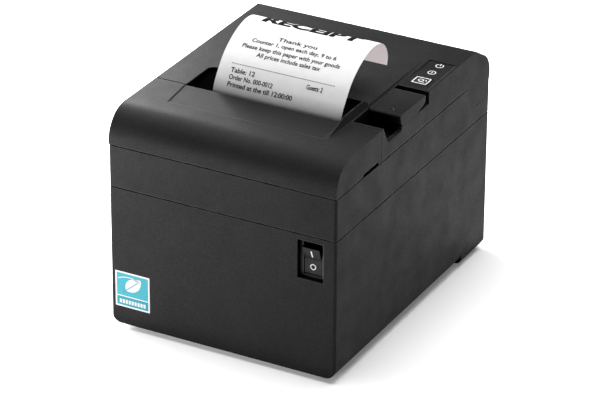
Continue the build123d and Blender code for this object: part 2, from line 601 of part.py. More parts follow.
def power_rocker():
    """Two-faced rocker on its trunnions, lower half pressed in."""
    floor_y = -HALF_D + SWITCH_DEPTH
    y = floor_y + 2.5
    z = (SWITCH_Z0 + SWITCH_Z1) / 2
    half = (SWITCH_Z1 - SWITCH_Z0) / 2 - 2.95
    rise = half * math.tan(math.radians(ROCKER_TILT))
    face = -3.2
    outline = [(face - rise, half), (face, 0), (face - rise, -half), (1.0, -half + 1.6), (3.4, 0), (1.0, half - 1.6)]
    points = [(y + a, z + b) for a, b in outline]
    body = side_prism(points, SWITCH_X0 + 2.7, SWITCH_X1 - 2.7)
    body += rod_x(1.5, SWITCH_X0 + 1.7, SWITCH_X1 - 1.7, y, z)
    return Pos(0, y, z) * Rot(ROCKER_TILT, 0, 0) * Pos(0, -y, -z) * body


def front_label():
    """Square sticker low on the front."""
    return block(LABEL_X0, LABEL_X0 + LABEL_SIZE, -HALF_D, -HALF_D + LABEL_T, LABEL_Z0, LABEL_Z0 + LABEL_SIZE)


def sheet_along(points, x0, x1, thickness):
    """A thin sheet whose front face follows (y, z) points, thickened towards the left of the path."""
    back = []
    for i, (y, z) in enumerate(points):
        before = points[max(i - 1, 0)]
        after = points[min(i + 1, len(points) - 1)]
        dy = after[0] - before[0]
        dz = after[1] - before[1]
        size = math.hypot(dy, dz)
        back.append((y + thickness * dz / size, z - thickness * dy / size))
    return side_prism(points + back[::-1], x0, x1)


def receipt():
    """Printed strip that stands out of the slot and curls to the rear."""
    path = [(PAPER_Y, CUT_Z + 1.15), (PAPER_Y, 126.0), (-38.3, 129.0), (-37.2, 132.2), (-35.3, 135.6),
            (-33.0, 138.8), (-28.6, 144.4), (-24.5, 148.3), (-18.8, 152.2), (-12.5, 155.3), (-6.0, 157.4),
            (0.0, 158.2), (6.0, 157.6), (10.0, 156.0), (13.2, 153.4), (15.6, 149.8), (16.7, 145.4), (15.9, 140.7)]
    return sheet_along(path, PAPER_X0, PAPER_X1, PAPER_T)


def web_tangent():
    """Where the paper leaves the roll on its way up to the platen."""
    y = PAPER_Y
    z = HEAD_Z0 + 4
    gap_r = ROLL_R + 0.35 + PAPER_T
    dy = ROLL_Y - y
    dz = ROLL_Z - z
    reach = math.hypot(dy, dz)
    angle = math.atan2(dz, dy) - math.asin(gap_r / reach)
    length = math.sqrt(reach**2 - gap_r**2)
    return y + length * math.cos(angle), z + length * math.sin(angle)


def paper_web():
    """Paper from the roll up to the cutting line."""
    return sheet_along([web_tangent(), (PAPER_Y, HEAD_Z0 + 4), (PAPER_Y, CUT_Z - 0.1)],
                       PAPER_X0, PAPER_X1, PAPER_T)


def paper_roll():
    """Wound paper."""
    return (rod_x(ROLL_R, PAPER_X0, PAPER_X1, ROLL_Y, ROLL_Z)
            - rod_x(CORE_R, PAPER_X0 - 1, PAPER_X1 + 1, ROLL_Y, ROLL_Z))


def roll_core():
    """Cardboard tube in the roll."""
    return (rod_x(CORE_R, PAPER_X0, PAPER_X1, ROLL_Y, ROLL_Z)
            - rod_x(CORE_IN_R, PAPER_X0 - 1, PAPER_X1 + 1, ROLL_Y, ROLL_Z))


def paper_bucket():
    """Drop-in trough for the roll, its deck and the posts of the latch pin."""
    outer = rod_x(BUCKET_R + BUCKET_T, BUCKET_X0, BUCKET_X1, ROLL_Y, BUCKET_Z)
    body = outer & block(BUCKET_X0, BUCKET_X1, ROLL_Y - 60, ROLL_Y + 60, 0, BUCKET_Z)
    rear = ROLL_Y + BUCKET_R + BUCKET_T
    body += block(BUCKET_X0, BUCKET_X1, ROLL_Y - BUCKET_R, rear, BUCKET_Z - 20, DECK_Z)
    body += block(BUCKET_X0, BUCKET_X1, ROLL_Y - BUCKET_R, SKIRT_Y, DECK_Z - 1, DECK_Z + DECK_T)
    inner_x0 = BUCKET_X0 + BUCKET_T - 0.6
    inner_x1 = BUCKET_X1 - BUCKET_T + 0.6
    body -= rod_x(BUCKET_R, inner_x0, inner_x1, ROLL_Y, BUCKET_Z)
    body -= block(inner_x0, inner_x1, ROLL_Y - BUCKET_R, ROLL_Y + BUCKET_R, BUCKET_Z, DECK_Z + 9)
    body -= block(inner_x0, inner_x1, ROLL_Y - 60, ROLL_Y - 20, BUCKET_Z - 12, DECK_Z + 9)
    deck = block(-INNER_X, INNER_X, ROLL_Y - BUCKET_R, SKIRT_Y, DECK_Z, DECK_Z + DECK_T)
    deck -= block(BUCKET_X0 + 0.5, BUCKET_X1 - 0.5, ROLL_Y - BUCKET_R - 1, SKIRT_Y + 1, DECK_Z - 1, DECK_Z + 9)
    body += deck
    top = LATCH_Z + 4
    for x in (49.5, 59.5):
        body += block(x, x + 2, LATCH_Y - 3.5, LATCH_Y + 3.5, DECK_Z + 1, top)
    return body - rod_x(LATCH_R, 48.0, 62.5, LATCH_Y, LATCH_Z)


def latch_pin():
    """Steel pin that the lever's nose catches."""
    return rod_x(LATCH_R, 49.5, 61.5, LATCH_Y, LATCH_Z)


def platen_shaft():
    """Steel shaft of the platen, flatted under its gear."""
    return rod_x(SHAFT_R, GEAR_X0 - 0.6, ARM_RIGHT_X + 0.7, PLATEN_Y, PLATEN_Z)


def ring_x(outer, inner, x0, x1, y, z):
    """A tube along X."""
    return rod_x(outer, x0, x1, y, z) - rod_x(inner, x0 - 1, x1 + 1, y, z)


def platen_bush(x0, x1):
    """Flanged bearing in one arm of the platen bracket."""
    outside = x0 if x0 < 0 else x1
    low, high = sorted((outside, outside + math.copysign(0.6, outside)))
    body = rod_x(4.0, x0, x1, PLATEN_Y, PLATEN_Z) + rod_x(4.8, low, high, PLATEN_Y, PLATEN_Z)
    return body - rod_x(SHAFT_R + RUN_CLEAR, x0 - 2, x1 + 2, PLATEN_Y, PLATEN_Z)


def platen_bracket():
    """Bent steel bracket under the paper cover with the two platen arms."""
    web_y = BRACKET_WEB_Y
    top = CUT_Z + 4.15
    body = block(ARM_LEFT_X, ARM_RIGHT_X, web_y, web_y + ARM_T, PLATEN_Z - 5.5, CUT_Z + 0.8)
    body += block(ARM_LEFT_X + 4, ARM_RIGHT_X - 6, web_y, web_y + ARM_T, CUT_Z, top)
    body += block(ARM_LEFT_X + 4, ARM_RIGHT_X - 6, web_y, SLOT_REAR_Y + 11, top - ARM_T, top)
    for x in (ARM_LEFT_X, ARM_RIGHT_X - ARM_T):
        body += block(x, x + ARM_T, PLATEN_Y - 5.5, web_y + ARM_T, PLATEN_Z - 5.5, PLATEN_Z + 7)
        body -= rod_x(4.0, x - 1, x + ARM_T + 1, PLATEN_Y, PLATEN_Z)
    return body


def fixed_blade():
    """Straight counter blade on the platen bracket."""
    return block(BLADE_X0 - 2, BLADE_X1 - 0.5, PAPER_Y + 0.35, BRACKET_WEB_Y, CUTTER_FLOOR_Z - 1.2, CUTTER_FLOOR_Z)


def head_face_y():
    """Front of the paper path less the small gap to the head."""
    return PAPER_Y - HEAD_GAP


def print_head():
    """Ceramic print head board with its raised heater line."""
    y = head_face_y()
    body = block(PAPER_X0 - 2, PAPER_X1 + 2, y - HEAD_T, y - 0.2, HEAD_Z0, HEAD_Z1)
    return body + block(PAPER_X0, PAPER_X1, y - 0.3, y, PLATEN_Z - 1, PLATEN_Z + 1)


def head_heatsink():
    """Ribbed aluminium block behind the head, with the lugs for the pivot rod."""
    y = head_face_y() - HEAD_T
    body = block(PAPER_X0 - 3, PAPER_X1 + 3, y - 2.2, y, HEAD_Z0 - 1, HEAD_Z1 + 0.4)
    for z in (102.5, 105.5, 112.5, 115.0):
        body += block(PAPER_X0 - 3, PAPER_X1 + 3, y - 4.6, y - 2, z, z + 1.2)
    for x in (PAPER_X0 - 2, PAPER_X1 - 2):
        body += block(x, x + 4, HEAD_PIVOT_Y - 2.6, y, HEAD_PIVOT_Z - 2.6, HEAD_PIVOT_Z + 2.6)
    return body - rod_x(HEAD_ROD_R + RUN_CLEAR, FRAME_X0, FRAME_X1, HEAD_PIVOT_Y, HEAD_PIVOT_Z)


def head_spring(x):
    """Coil spring that presses the head to the platen."""
    start = head_face_y() - HEAD_T - 2.2
    return Pos(x, start, 109.6) * Rot(90, 0, 0) * coil(1.6, 0.25, start - head_stay_y() - FRAME_T, 4)


def head_stay_y():
    """Front face of the cross plate that backs the head springs."""
    return -52.0


def mechanism_frame():
    """Folded steel chassis: two side plates, a floor plate and the cross plate behind the head springs."""
    outline = [(FRAME_LOW_Y0, FRAME_Z0), (-45.0, FRAME_Z0), (FRAME_Y1 - 4, 76.0), (FRAME_Y1, 80.0), (FRAME_Y1, 96.0),
               (-36.0, 102.5), (-41.9, 102.5), (-43.5, 105.0), (-43.5, FRAME_TOP_Z),
               (FRAME_Y0, FRAME_TOP_Z), (FRAME_Y0, 100.0), (FRAME_LOW_Y0, 90.0)]
    body = side_prism(outline, FRAME_X0, FRAME_X0 + FRAME_T)
    body += side_prism(outline, FRAME_X1 - FRAME_T, FRAME_X1)
    body += block(FRAME_X0, FRAME_X1, FRAME_LOW_Y0, -45.0, FRAME_Z0, FRAME_Z0 + FRAME_T)
    body += block(FRAME_X0, FRAME_X1, head_stay_y(), head_stay_y() + FRAME_T, 103.0, FRAME_TOP_Z)
    body -= rod_x(HEAD_ROD_R, FRAME_X0 - 1, FRAME_X1 + 1, HEAD_PIVOT_Y, HEAD_PIVOT_Z)
    body -= rod_x(2.0, FRAME_X0 - 1, 0, IDLER[0], IDLER[1])
    return body - rod_x(5.6, FRAME_X0 - 1, 0, PINION[0], PINION[1])


def feed_motor():
    """Stepping motor that drives the platen."""
    y, z = PINION[0], PINION[1]
    inside = FRAME_X0 + FRAME_T
    body = rod_x(15.5, inside + 1.5, inside + 20, y, z)
    body += block(inside, inside + 1.5, y - 17.6, y + 17.6, z - 7, z + 7)
    body += rod_x(5.4, inside - 1.2, inside + 1, y, z)
    return body - rod_x(1.5 + RUN_CLEAR, inside - 2, inside + 18, y, z)


def motor_pinion():
    """Motor shaft with its pinion."""
    y, z, phase = PINION
    return spur_x(MOTOR_TEETH, phase, y, z) + rod_x(1.5, GEAR_X0 - 0.5, FRAME_X0 + FRAME_T + 16, y, z)


def idler_gear():
    """Idler between the motor pinion and the platen gear."""
    y, z, phase = IDLER
    body = spur_x(IDLER_TEETH, phase, y, z) - ring_x(8.6, 4.0, GEAR_X0 - 1, GEAR_X0 + 0.9, y, z)
    return body - rod_x(2.0 + RUN_CLEAR, GEAR_X0 - 1, GEAR_X1 + 1, y, z)


def idler_stud():
    """Headed stud of the idler, pressed into the frame."""
    y, z = IDLER[0], IDLER[1]
    return (rod_x(2.0, GEAR_X0 - 0.8, FRAME_X0 + FRAME_T, y, z)
            + rod_x(3.2, GEAR_X0 - 1.0, GEAR_X0 - 0.2, y, z)
            + rod_x(3.2, GEAR_X1 + 0.2, FRAME_X0, y, z))


def platen_gear():
    """Gear on the left end of the platen shaft."""
    body = spur_x(PLATEN_TEETH, IDLER_ANGLE, PLATEN_Y, PLATEN_Z)
    body -= ring_x(6.8, 4.2, GEAR_X0 - 1, GEAR_X0 + 0.9, PLATEN_Y, PLATEN_Z)
    return body - rod_x(SHAFT_R, GEAR_X0 - 1, GEAR_X1 + 1, PLATEN_Y, PLATEN_Z)


def cutter_frame():
    """Floor plate of the cutter with the two guide rails of the moving blade."""
    body = block(FRAME_X0, FRAME_X1, FRAME_Y0 - 2, -43.5, FRAME_TOP_Z, CUTTER_FLOOR_Z)
    lip_z = CUTTER_FLOOR_Z + BLADE_GAP + BLADE_T + BLADE_GAP
    for low, high, lip in ((-43.6, BLADE_X0 - 0.1, 1.6), (BLADE_X1 + 0.1, FRAME_X1, -1.6)):
        body += block(low, high, BLADE_FRONT_Y - 2, -43.5, CUTTER_FLOOR_Z, lip_z + 1.2)
        edge = high if lip > 0 else low
        inner, outer = sorted((edge, edge + lip))
        body += block(inner, outer, BLADE_FRONT_Y - 2, -43.5, lip_z, lip_z + 1.2)
    return body - rod_z(3.0, FRAME_TOP_Z - 1, CUTTER_FLOOR_Z + 1, CUTTER_X, CUTTER_Y)


def moving_blade():
    """Sliding blade with its slightly hollow edge and the rack that drives it."""
    low = CUTTER_FLOOR_Z + BLADE_GAP
    middle = (PAPER_X0 + PAPER_X1) / 2
    pitch_x = CUTTER_X + MODULE * CUTTER_TEETH / 2
    root = pitch_x + 1.15 * MODULE
    plan = [(BLADE_X0, BLADE_FRONT_Y), (BLADE_X1, BLADE_FRONT_Y), (BLADE_X1, BLADE_REAR_Y),
            (middle, BLADE_REAR_Y - 1.6), (BLADE_X0, BLADE_REAR_Y)]
    body = plan_prism(plan, low, low + BLADE_T)
    body += block(root, root + 7, RACK_FRONT_Y, BLADE_FRONT_Y + 2, low, low + BLADE_T)
    pitch = math.pi * MODULE
    slope = math.tan(math.radians(PRESSURE_ANGLE))
    tip = pitch_x - 0.9 * MODULE
    half = pitch / 4 - BACKLASH / 4
    for i in range(-5, 5):
        y = CUTTER_Y + pitch * (i + 0.5)
        tooth = [(root + 0.2, y - half - 1.15 * MODULE * slope), (tip, y - half + 0.9 * MODULE * slope),
                 (tip, y + half - 0.9 * MODULE * slope), (root + 0.2, y + half + 1.15 * MODULE * slope)]
        body += plan_prism(tooth, low, low + BLADE_T)
    return body


def cutter_motor():
    """Small upright motor under the cutter floor."""
    body = rod_z(10.0, FRAME_TOP_Z - 15, FRAME_TOP_Z, CUTTER_X, CUTTER_Y)
    return body - rod_z(1.2 + RUN_CLEAR, FRAME_TOP_Z - 9, FRAME_TOP_Z + 1, CUTTER_X, CUTTER_Y)


def cutter_pinion():
    """Cutter motor shaft with its pinion."""
    low = CUTTER_FLOOR_Z + BLADE_GAP
    points = [(CUTTER_X + a, CUTTER_Y + b) for a, b in gear_outline(CUTTER_TEETH, 0, BACKLASH)]
    return plan_prism(points, low, low + 2) + rod_z(1.2, FRAME_TOP_Z - 8, low + 2.5, CUTTER_X, CUTTER_Y)


def near_end_sensor():
    """Sensor on the bucket's left side that sees a small roll."""
    return block(BUCKET_X0 - 4, BUCKET_X0, ROLL_Y - 8, ROLL_Y + 2, 44.0, 52.0)


def paper_end_sensor():
    """Sensor that touches the front of the paper, on the frame's right plate."""
    low_y, low_z = web_tangent()
    lean = (PAPER_Y - low_y) / (HEAD_Z0 + 4 - low_z)
    outline = [(-47.5, z) for z in (91.0, 84.0)] + [(low_y + lean * (z - low_z), z) for z in (84.0, 91.0)]
    return side_prism(outline, 38.0, FRAME_X1 - FRAME_T)


def board_holes(body):
    """The holes over the board posts."""
    for x in (-BOARD_X + 6, BOARD_X - 6):
        for y in (BOARD_Y0 + 6, BOARD_Y1 - 14):
            body -= rod_z(1.5, BOARD_Z - 1, BOARD_Z + 5, x, y)
    return body


def main_board():
    """Main circuit board with its processor, memory, regulator coil and capacitors."""
    body = block(-BOARD_X, BOARD_X, BOARD_Y0, BOARD_Y1, BOARD_Z, BOARD_Z + BOARD_T)
    top = BOARD_Z + BOARD_T
    body += block(-30, -14, -30, -14, top - 0.1, top + 1.4)
    body += block(-6, 4, -28, -20, top - 0.1, top + 1.2)
    body += block(14, 26, -34, -22, top - 0.1, top + 5.0)
    for x in (34.0, 45.0):
        body += rod_z(4.0, top - 0.1, top + 9, x, -24.0)
    return board_holes(body)


def port_spots():
    """Each rear port as name, low x, high x and height above the board."""
    return (("dc_jack", -50.0, -38.0, 12.0), ("usb_port", -30.0, -18.0, 10.8), ("ethernet_port", -10.0, 6.2, 13.4),
            ("drawer_port", 12.0, 25.0, 11.6), ("serial_port", 30.0, 50.0, 11.0))


def port_shell(x0, x1, height):
    """Outside of a rear port."""
    return block(x0, x1, BOARD_Y1 - 12, PORT_FACE_Y, PORT_Z0, PORT_Z0 + height)


def interface_plate():
    """Steel plate behind the rear window, cut out round each port."""
    body = block(-WINDOW_X - 1.5, WINDOW_X + 1.5, INNER_Y - PLATE_T, INNER_Y, WINDOW_Z0 - 1.5, WINDOW_Z1 + 1.5)
    for _, x0, x1, height in port_spots():
        body -= block(x0 - PORT_GAP, x1 + PORT_GAP, INNER_Y - 3, INNER_Y + 1,
                      PORT_Z0 - PORT_GAP, PORT_Z0 + height + PORT_GAP)
    return body


def port(node):
    """One rear port with its socket."""
    name, x0, x1, height = [spot for spot in port_spots() if spot[0] == node][0]
    shell = port_shell(x0, x1, height)
    x = (x0 + x1) / 2
    z = PORT_Z0 + height / 2
    if name == "dc_jack":
        socket = rod_y(4.6, PORT_FACE_Y - 9, PORT_FACE_Y + 1, x, z)
        return shell - socket + rod_y(1.0, PORT_FACE_Y - 10, PORT_FACE_Y - 2, x, z)
    if name == "usb_port":
        socket = block(x - 4.3, x + 4.3, PORT_FACE_Y - 9, PORT_FACE_Y + 1, z - 4.0, z + 4.0)
        return shell - socket + block(x - 2.8, x + 2.8, PORT_FACE_Y - 10, PORT_FACE_Y - 2, z - 1.5, z + 1.5)
    if name == "serial_port":
        shape = [(x - 8.4, z + 4.0), (x + 8.4, z + 4.0), (x + 7.2, z - 4.0), (x - 7.2, z - 4.0)]
        return shell - front_prism(shape, PORT_FACE_Y - 6, PORT_FACE_Y + 1)
    width, low, high = (5.9, z - 4.4, z + 3.0) if name == "ethernet_port" else (4.9, z - 3.9, z + 2.8)
    socket = block(x - width, x + width, PORT_FACE_Y - 12, PORT_FACE_Y + 1, low, high)
    return shell - socket - block(x - 2.8, x + 2.8, PORT_FACE_Y - 12, PORT_FACE_Y + 1, high - 1, high + 1.8)


def rubber_feet():
    """Four round feet."""
    feet = [rod_z(FOOT_R, 0, BASE_Z + FOOT_SINK, x, y) for x, y in FOOT_SPOTS]
    return Compound(children=feet)


def case_screws():
    """Four screws up through the floor into the pillars."""
    screws = []
    for x in (-PILLAR_X, PILLAR_X):
        for y in PILLAR_YS:
            head_z = BASE_Z + 1.2
            screw = rod_z(SCREW_HEAD_R, head_z - 1.8, head_z, x, y)
            screw -= rod_z(1.4, head_z - 2, head_z - 0.8, x, y) & block(x - 2, x + 2, y - 0.4, y + 0.4, 0, 9)
            screws.append(screw + rod_z(SCREW_R, head_z - 0.5, FLOOR_Z + 10, x, y))
    return Compound(children=screws)


def hinge_pin(side):
    """Pin of one cover hinge, pressed into its ear."""
    low, high = sorted((side * EAR_X0, side * (INNER_X - 1.3)))
    return rod_x(HINGE_PIN_R, low, high, HINGE_Y, HINGE_Z)


os.makedirs("parts", exist_ok=True)

keep(lower_case(), "lower_case")
keep(upper_case(), "upper_case")
keep(front_cover(), "front_cover")
keep(paper_cover(), "paper_cover")
keep(cover_lever(), "cover_lever")
keep(rod_x(LEVER_PIN_R, STRIP_X + 0.7, 62.0, LEVER_PIVOT_Y, LEVER_PIVOT_Z), "lever_pivot_pin")
keep(lever_spring(), "lever_spring")
keep(hinge_pin(-1), "hinge_pin_left")
keep(hinge_pin(1), "hinge_pin_right")
keep(panel_overlay(), "panel_overlay")
keep(feed_key(), "feed_key")
keep(panel_board(), "panel_board")
keep(feed_switch(), "feed_switch")
keep(rod_z(PIPE_R, 123.6, PANEL_Z, PIPE_X, PIPE_YS[0]), "light_pipe_power")
keep(rod_z(PIPE_R, 123.6, PANEL_Z, PIPE_X, PIPE_YS[1]), "light_pipe_error")
keep(power_switch_body(), "power_switch_body")
keep(power_rocker(), "power_rocker")
keep(front_label(), "front_label")
keep(receipt(), "receipt")
keep(paper_web(), "paper_web")
keep(paper_roll(), "paper_roll")
keep(roll_core(), "roll_core")
keep(paper_bucket(), "paper_bucket")
keep(latch_pin(), "latch_pin")
keep(ring_x(PLATEN_R, SHAFT_R, PAPER_X0 - 0.5, PAPER_X1 + 0.5, PLATEN_Y, PLATEN_Z), "platen_roller")
keep(platen_shaft(), "platen_shaft")
keep(platen_bush(ARM_LEFT_X, ARM_LEFT_X + ARM_T), "platen_bush_left")
keep(platen_bush(ARM_RIGHT_X - ARM_T, ARM_RIGHT_X), "platen_bush_right")
keep(platen_gear(), "platen_gear")
keep(platen_bracket(), "platen_bracket")
keep(fixed_blade(), "fixed_blade")
keep(print_head(), "print_head")
keep(head_heatsink(), "head_heatsink")
keep(head_spring(-20.0), "head_spring_left")
keep(head_spring(27.5), "head_spring_right")
keep(rod_x(HEAD_ROD_R, FRAME_X0, FRAME_X1, HEAD_PIVOT_Y, HEAD_PIVOT_Z), "head_pivot_rod")
keep(mechanism_frame(), "mechanism_frame")
keep(feed_motor(), "feed_motor")
keep(motor_pinion(), "motor_pinion")
keep(idler_gear(), "idler_gear")
keep(idler_stud(), "idler_stud")
keep(cutter_frame(), "cutter_frame")
keep(moving_blade(), "moving_blade")
keep(cutter_motor(), "cutter_motor")
keep(cutter_pinion(), "cutter_pinion")
keep(near_end_sensor(), "near_end_sensor")
keep(paper_end_sensor(), "paper_end_sensor")
keep(main_board(), "main_board")
keep(interface_plate(), "interface_plate")
keep(port("dc_jack"), "dc_jack")
keep(port("usb_port"), "usb_port")
keep(port("ethernet_port"), "ethernet_port")
keep(port("drawer_port"), "drawer_port")
keep(port("serial_port"), "serial_port")
keep(rubber_feet(), "rubber_feet")
keep(case_screws(), "case_screws")
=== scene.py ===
import math

import bmesh
import bpy
from mathutils import Matrix, Vector


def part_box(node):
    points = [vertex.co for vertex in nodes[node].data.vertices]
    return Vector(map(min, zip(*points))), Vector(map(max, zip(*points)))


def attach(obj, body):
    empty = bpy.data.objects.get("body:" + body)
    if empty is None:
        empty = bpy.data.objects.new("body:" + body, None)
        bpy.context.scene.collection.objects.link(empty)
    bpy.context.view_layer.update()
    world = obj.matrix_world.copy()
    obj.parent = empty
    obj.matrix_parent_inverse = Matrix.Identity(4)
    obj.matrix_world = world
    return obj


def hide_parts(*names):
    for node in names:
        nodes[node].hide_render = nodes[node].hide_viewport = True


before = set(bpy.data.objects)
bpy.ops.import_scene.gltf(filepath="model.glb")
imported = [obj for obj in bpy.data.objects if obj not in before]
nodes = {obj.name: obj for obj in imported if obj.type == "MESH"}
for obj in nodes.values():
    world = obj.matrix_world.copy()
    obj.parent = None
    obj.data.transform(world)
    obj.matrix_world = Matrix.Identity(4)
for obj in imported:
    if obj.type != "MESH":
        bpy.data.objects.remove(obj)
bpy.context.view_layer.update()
MM = 0.001


# --------------------------------------------------------------------------------------------------
# Materials
# --------------------------------------------------------------------------------------------------

class Finish:
    """A procedural material. Coordinates are the frame's, in metres, so a scale of 1000 is one cell a
    millimetre."""

    def __init__(self, name, roughness=0.5, **shader):
        self.material = bpy.data.materials.new(name)
        self.material.use_nodes = True
        self.tree = self.material.node_tree
        self.tree.nodes.clear()
        out = self.tree.nodes.new("ShaderNodeOutputMaterial")
        self.shader = self.tree.nodes.new("ShaderNodeBsdfPrincipled")
        self.tree.links.new(self.shader.outputs["BSDF"], out.inputs["Surface"])
        self.place = self.tree.nodes.new("ShaderNodeTexCoord").outputs["Object"]
        self.shader.inputs["Roughness"].default_value = roughness
        for socket, value in shader.items():
            self.shader.inputs[socket.replace("_", " ")].default_value = value
        self.normal = None

    def node(self, kind, inputs=None, **settings):
        made = self.tree.nodes.new(kind)
        for key, value in settings.items():
            setattr(made, key, value)
        for key, value in (inputs or {}).items():
            if isinstance(value, bpy.types.NodeSocket):
                self.tree.links.new(value, made.inputs[key])
            else:
                made.inputs[key].default_value = value
        return made

    def stretched(self, scale):
        return self.node("ShaderNodeMapping", {"Vector": self.place, "Scale": scale}).outputs[0]

    def noise(self, scale, detail=2.0, stretch=None, roughness=0.5):
        place = self.stretched(stretch) if stretch else self.place
        return self.node("ShaderNodeTexNoise", {"Vector": place, "Scale": scale, "Detail": detail,
                                                "Roughness": roughness}).outputs[0]

    def cells(self, scale, feature="F1", stretch=None, output="Distance"):
        place = self.stretched(stretch) if stretch else self.place
        made = self.node("ShaderNodeTexVoronoi", {"Vector": place, "Scale": scale}, feature=feature)
        return made.outputs[output]

    def waves(self, scale, direction, distortion=0.0, profile="SIN"):
        inputs = {"Vector": self.place, "Scale": scale, "Distortion": distortion}
        return self.node("ShaderNodeTexWave", inputs, wave_type="BANDS", bands_direction=direction,
                         wave_profile=profile).outputs["Fac"]

    def calc(self, operation, a, b=0.5, c=None):
        made = self.node("ShaderNodeMath", {0: a, 1: b}, operation=operation)
        if c is not None:
            made.inputs[2].default_value = c
        return made.outputs[0]

    def spread(self, value, low, high, out_low=0.0, out_high=1.0):
        return self.node("ShaderNodeMapRange", {"Value": value, "From Min": low, "From Max": high,
                                                "To Min": out_low, "To Max": out_high}).outputs["Result"]

    def mix(self, share, a, b):
        made = self.node("ShaderNodeMix", data_type="RGBA")
        for socket, value in ((made.inputs[0], share), (made.inputs[6], a), (made.inputs[7], b)):
            if isinstance(value, bpy.types.NodeSocket):
                self.tree.links.new(value, socket)
            else:
                colour = isinstance(value, tuple) and len(value) == 3
                socket.default_value = (*value, 1.0) if colour else value
        return made.outputs[2]

    def set(self, socket, value):
        self.tree.links.new(value, self.shader.inputs[socket])

    def soft_edges(self, radius):
        """Rounds the shading of sharp edges by this radius and returns how much of an edge a point is."""
        bevel = self.node("ShaderNodeBevel", {"Radius": radius}, samples=6).outputs[0]
        plain = self.node("ShaderNodeNewGeometry").outputs["Normal"]
        turned = self.node("ShaderNodeVectorMath", {0: bevel, 1: plain},
                           operation="DOT_PRODUCT").outputs["Value"]
        self.normal = bevel
        self.tree.links.new(bevel, self.shader.inputs["Normal"])
        return self.spread(turned, 0.995, 0.8)

    def hollows(self, reach, shut, clear):
        """0 in a slot or corner that little light gets into, 1 on an open face."""
        seen = self.node("ShaderNodeAmbientOcclusion", {"Distance": reach}, samples=6).outputs["AO"]
        return self.spread(seen, shut, clear)

    def outside(self, low, high):
        """0 inside the box between two corners and 1 outside it."""
        split = self.node("ShaderNodeSeparateXYZ", {0: self.place})
        inside = None
        for axis, a, b in zip("XYZ", low, high):
            above = self.calc("GREATER_THAN", split.outputs[axis], a)
            within = self.calc("MULTIPLY", above, self.calc("LESS_THAN", split.outputs[axis], b))
            inside = within if inside is None else self.calc("MULTIPLY", inside, within)
        return self.calc("SUBTRACT", 1.0, inside)

    def bump(self, height, distance, strength=1.0):
        inputs = {"Height": height, "Distance": distance, "Strength": strength}
        if self.normal is not None:
            inputs["Normal"] = self.normal
        self.normal = self.node("ShaderNodeBump", inputs).outputs[0]
        self.tree.links.new(self.normal, self.shader.inputs["Normal"])


def grey(value):
    return (value, value, value)


def moulded(name, dark, light, wear_and_highlight, roughness, grain=1900.0, depth=0.00006, edge=0.0006, specular=0.35,
            painted_shade_box=None):
    """Spark-textured moulded plastic: uneven fine grain, faint flow marks, edges lightened partly as rubbed
    wear and partly as a painted highlight, and painted shade in hollows, where the colour goes near black and
    the gloss fades.
    What lies in the given box, a low and a high corner, is painted dead black as shade."""
    f = Finish(name, roughness)
    edges = f.soft_edges(edge)
    flow = f.noise(22.0, 3.0, stretch=(1.0, 1.0, 0.45))
    speck = f.noise(grain * 0.8, 2.0)
    body = f.mix(f.spread(flow, 0.35, 0.65), dark, light)
    body = f.mix(f.spread(speck, 0.52, 0.72, 0.0, 0.6), body, light)
    # Edges lightened towards the edge colour, patchily: partly rubbed wear, partly a painted highlight along
    # rounded edges.
    edge_wear_and_highlight = f.calc("MULTIPLY", edges, f.spread(f.noise(260.0, 3.0), 0.35, 0.7, 0.35, 1.0))
    body = f.mix(edge_wear_and_highlight, body, wear_and_highlight)
    # Painted shade: near-black colour and no gloss in the hollows the AO finds, and inside the given box.
    open_share = f.hollows(0.03, 0.4, 0.65)
    if painted_shade_box:
        open_share = f.calc("MULTIPLY", open_share, f.outside(*painted_shade_box))
    f.set("Base Color", f.mix(open_share, grey(0.0015), body))
    gloss = f.spread(speck, 0.35, 0.65, specular * 0.72, specular * 1.3)
    f.set("Specular IOR Level", f.calc("MULTIPLY", gloss, open_share))
    rough = f.spread(f.noise(70.0, 2.0), 0.3, 0.7, roughness - 0.04, roughness + 0.05)
    f.set("Roughness", f.calc("SUBTRACT", rough, f.calc("MULTIPLY", edges, 0.12)))
    f.bump(f.cells(grain), depth, 0.55)
    f.bump(f.noise(grain * 1.7, 2.0), depth * 0.6, 0.5)
    return f.material


def metal(name, low, high, roughness, scale=900.0, stretch=(0.04, 1.0, 1.0), depth=0.000008):
    """Metal with drawn or rolled marks along one way and light stains."""
    f = Finish(name, roughness, Metallic=1.0)
    edges = f.soft_edges(0.0002)
    marks = f.noise(scale, 3.0, stretch=stretch)
    stains = f.noise(60.0, 4.0)
    shade = f.mix(f.spread(marks, 0.3, 0.7), low, high)
    shade = f.mix(f.spread(stains, 0.5, 0.75, 0.0, 0.4), shade, low)
    f.set("Base Color", f.mix(f.calc("MULTIPLY", edges, 0.4), shade, high))
    f.set("Roughness", f.spread(stains, 0.3, 0.7, roughness * 0.8, roughness * 1.25))
    f.bump(marks, depth, 0.6)
    return f.material


def zinc():
    """Galvanised sheet with its spangle."""
    f = Finish("zinc_sheet", 0.4, Metallic=1.0)
    f.soft_edges(0.0002)
    spangle = f.cells(190.0, output="Color")
    tone = f.spread(spangle, 0.0, 1.0)
    f.set("Base Color", f.mix(tone, grey(0.42), grey(0.62)))
    f.set("Roughness", f.spread(tone, 0.0, 1.0, 0.32, 0.5))
    f.bump(f.noise(700.0, 2.0), 0.00001, 0.5)
    return f.material


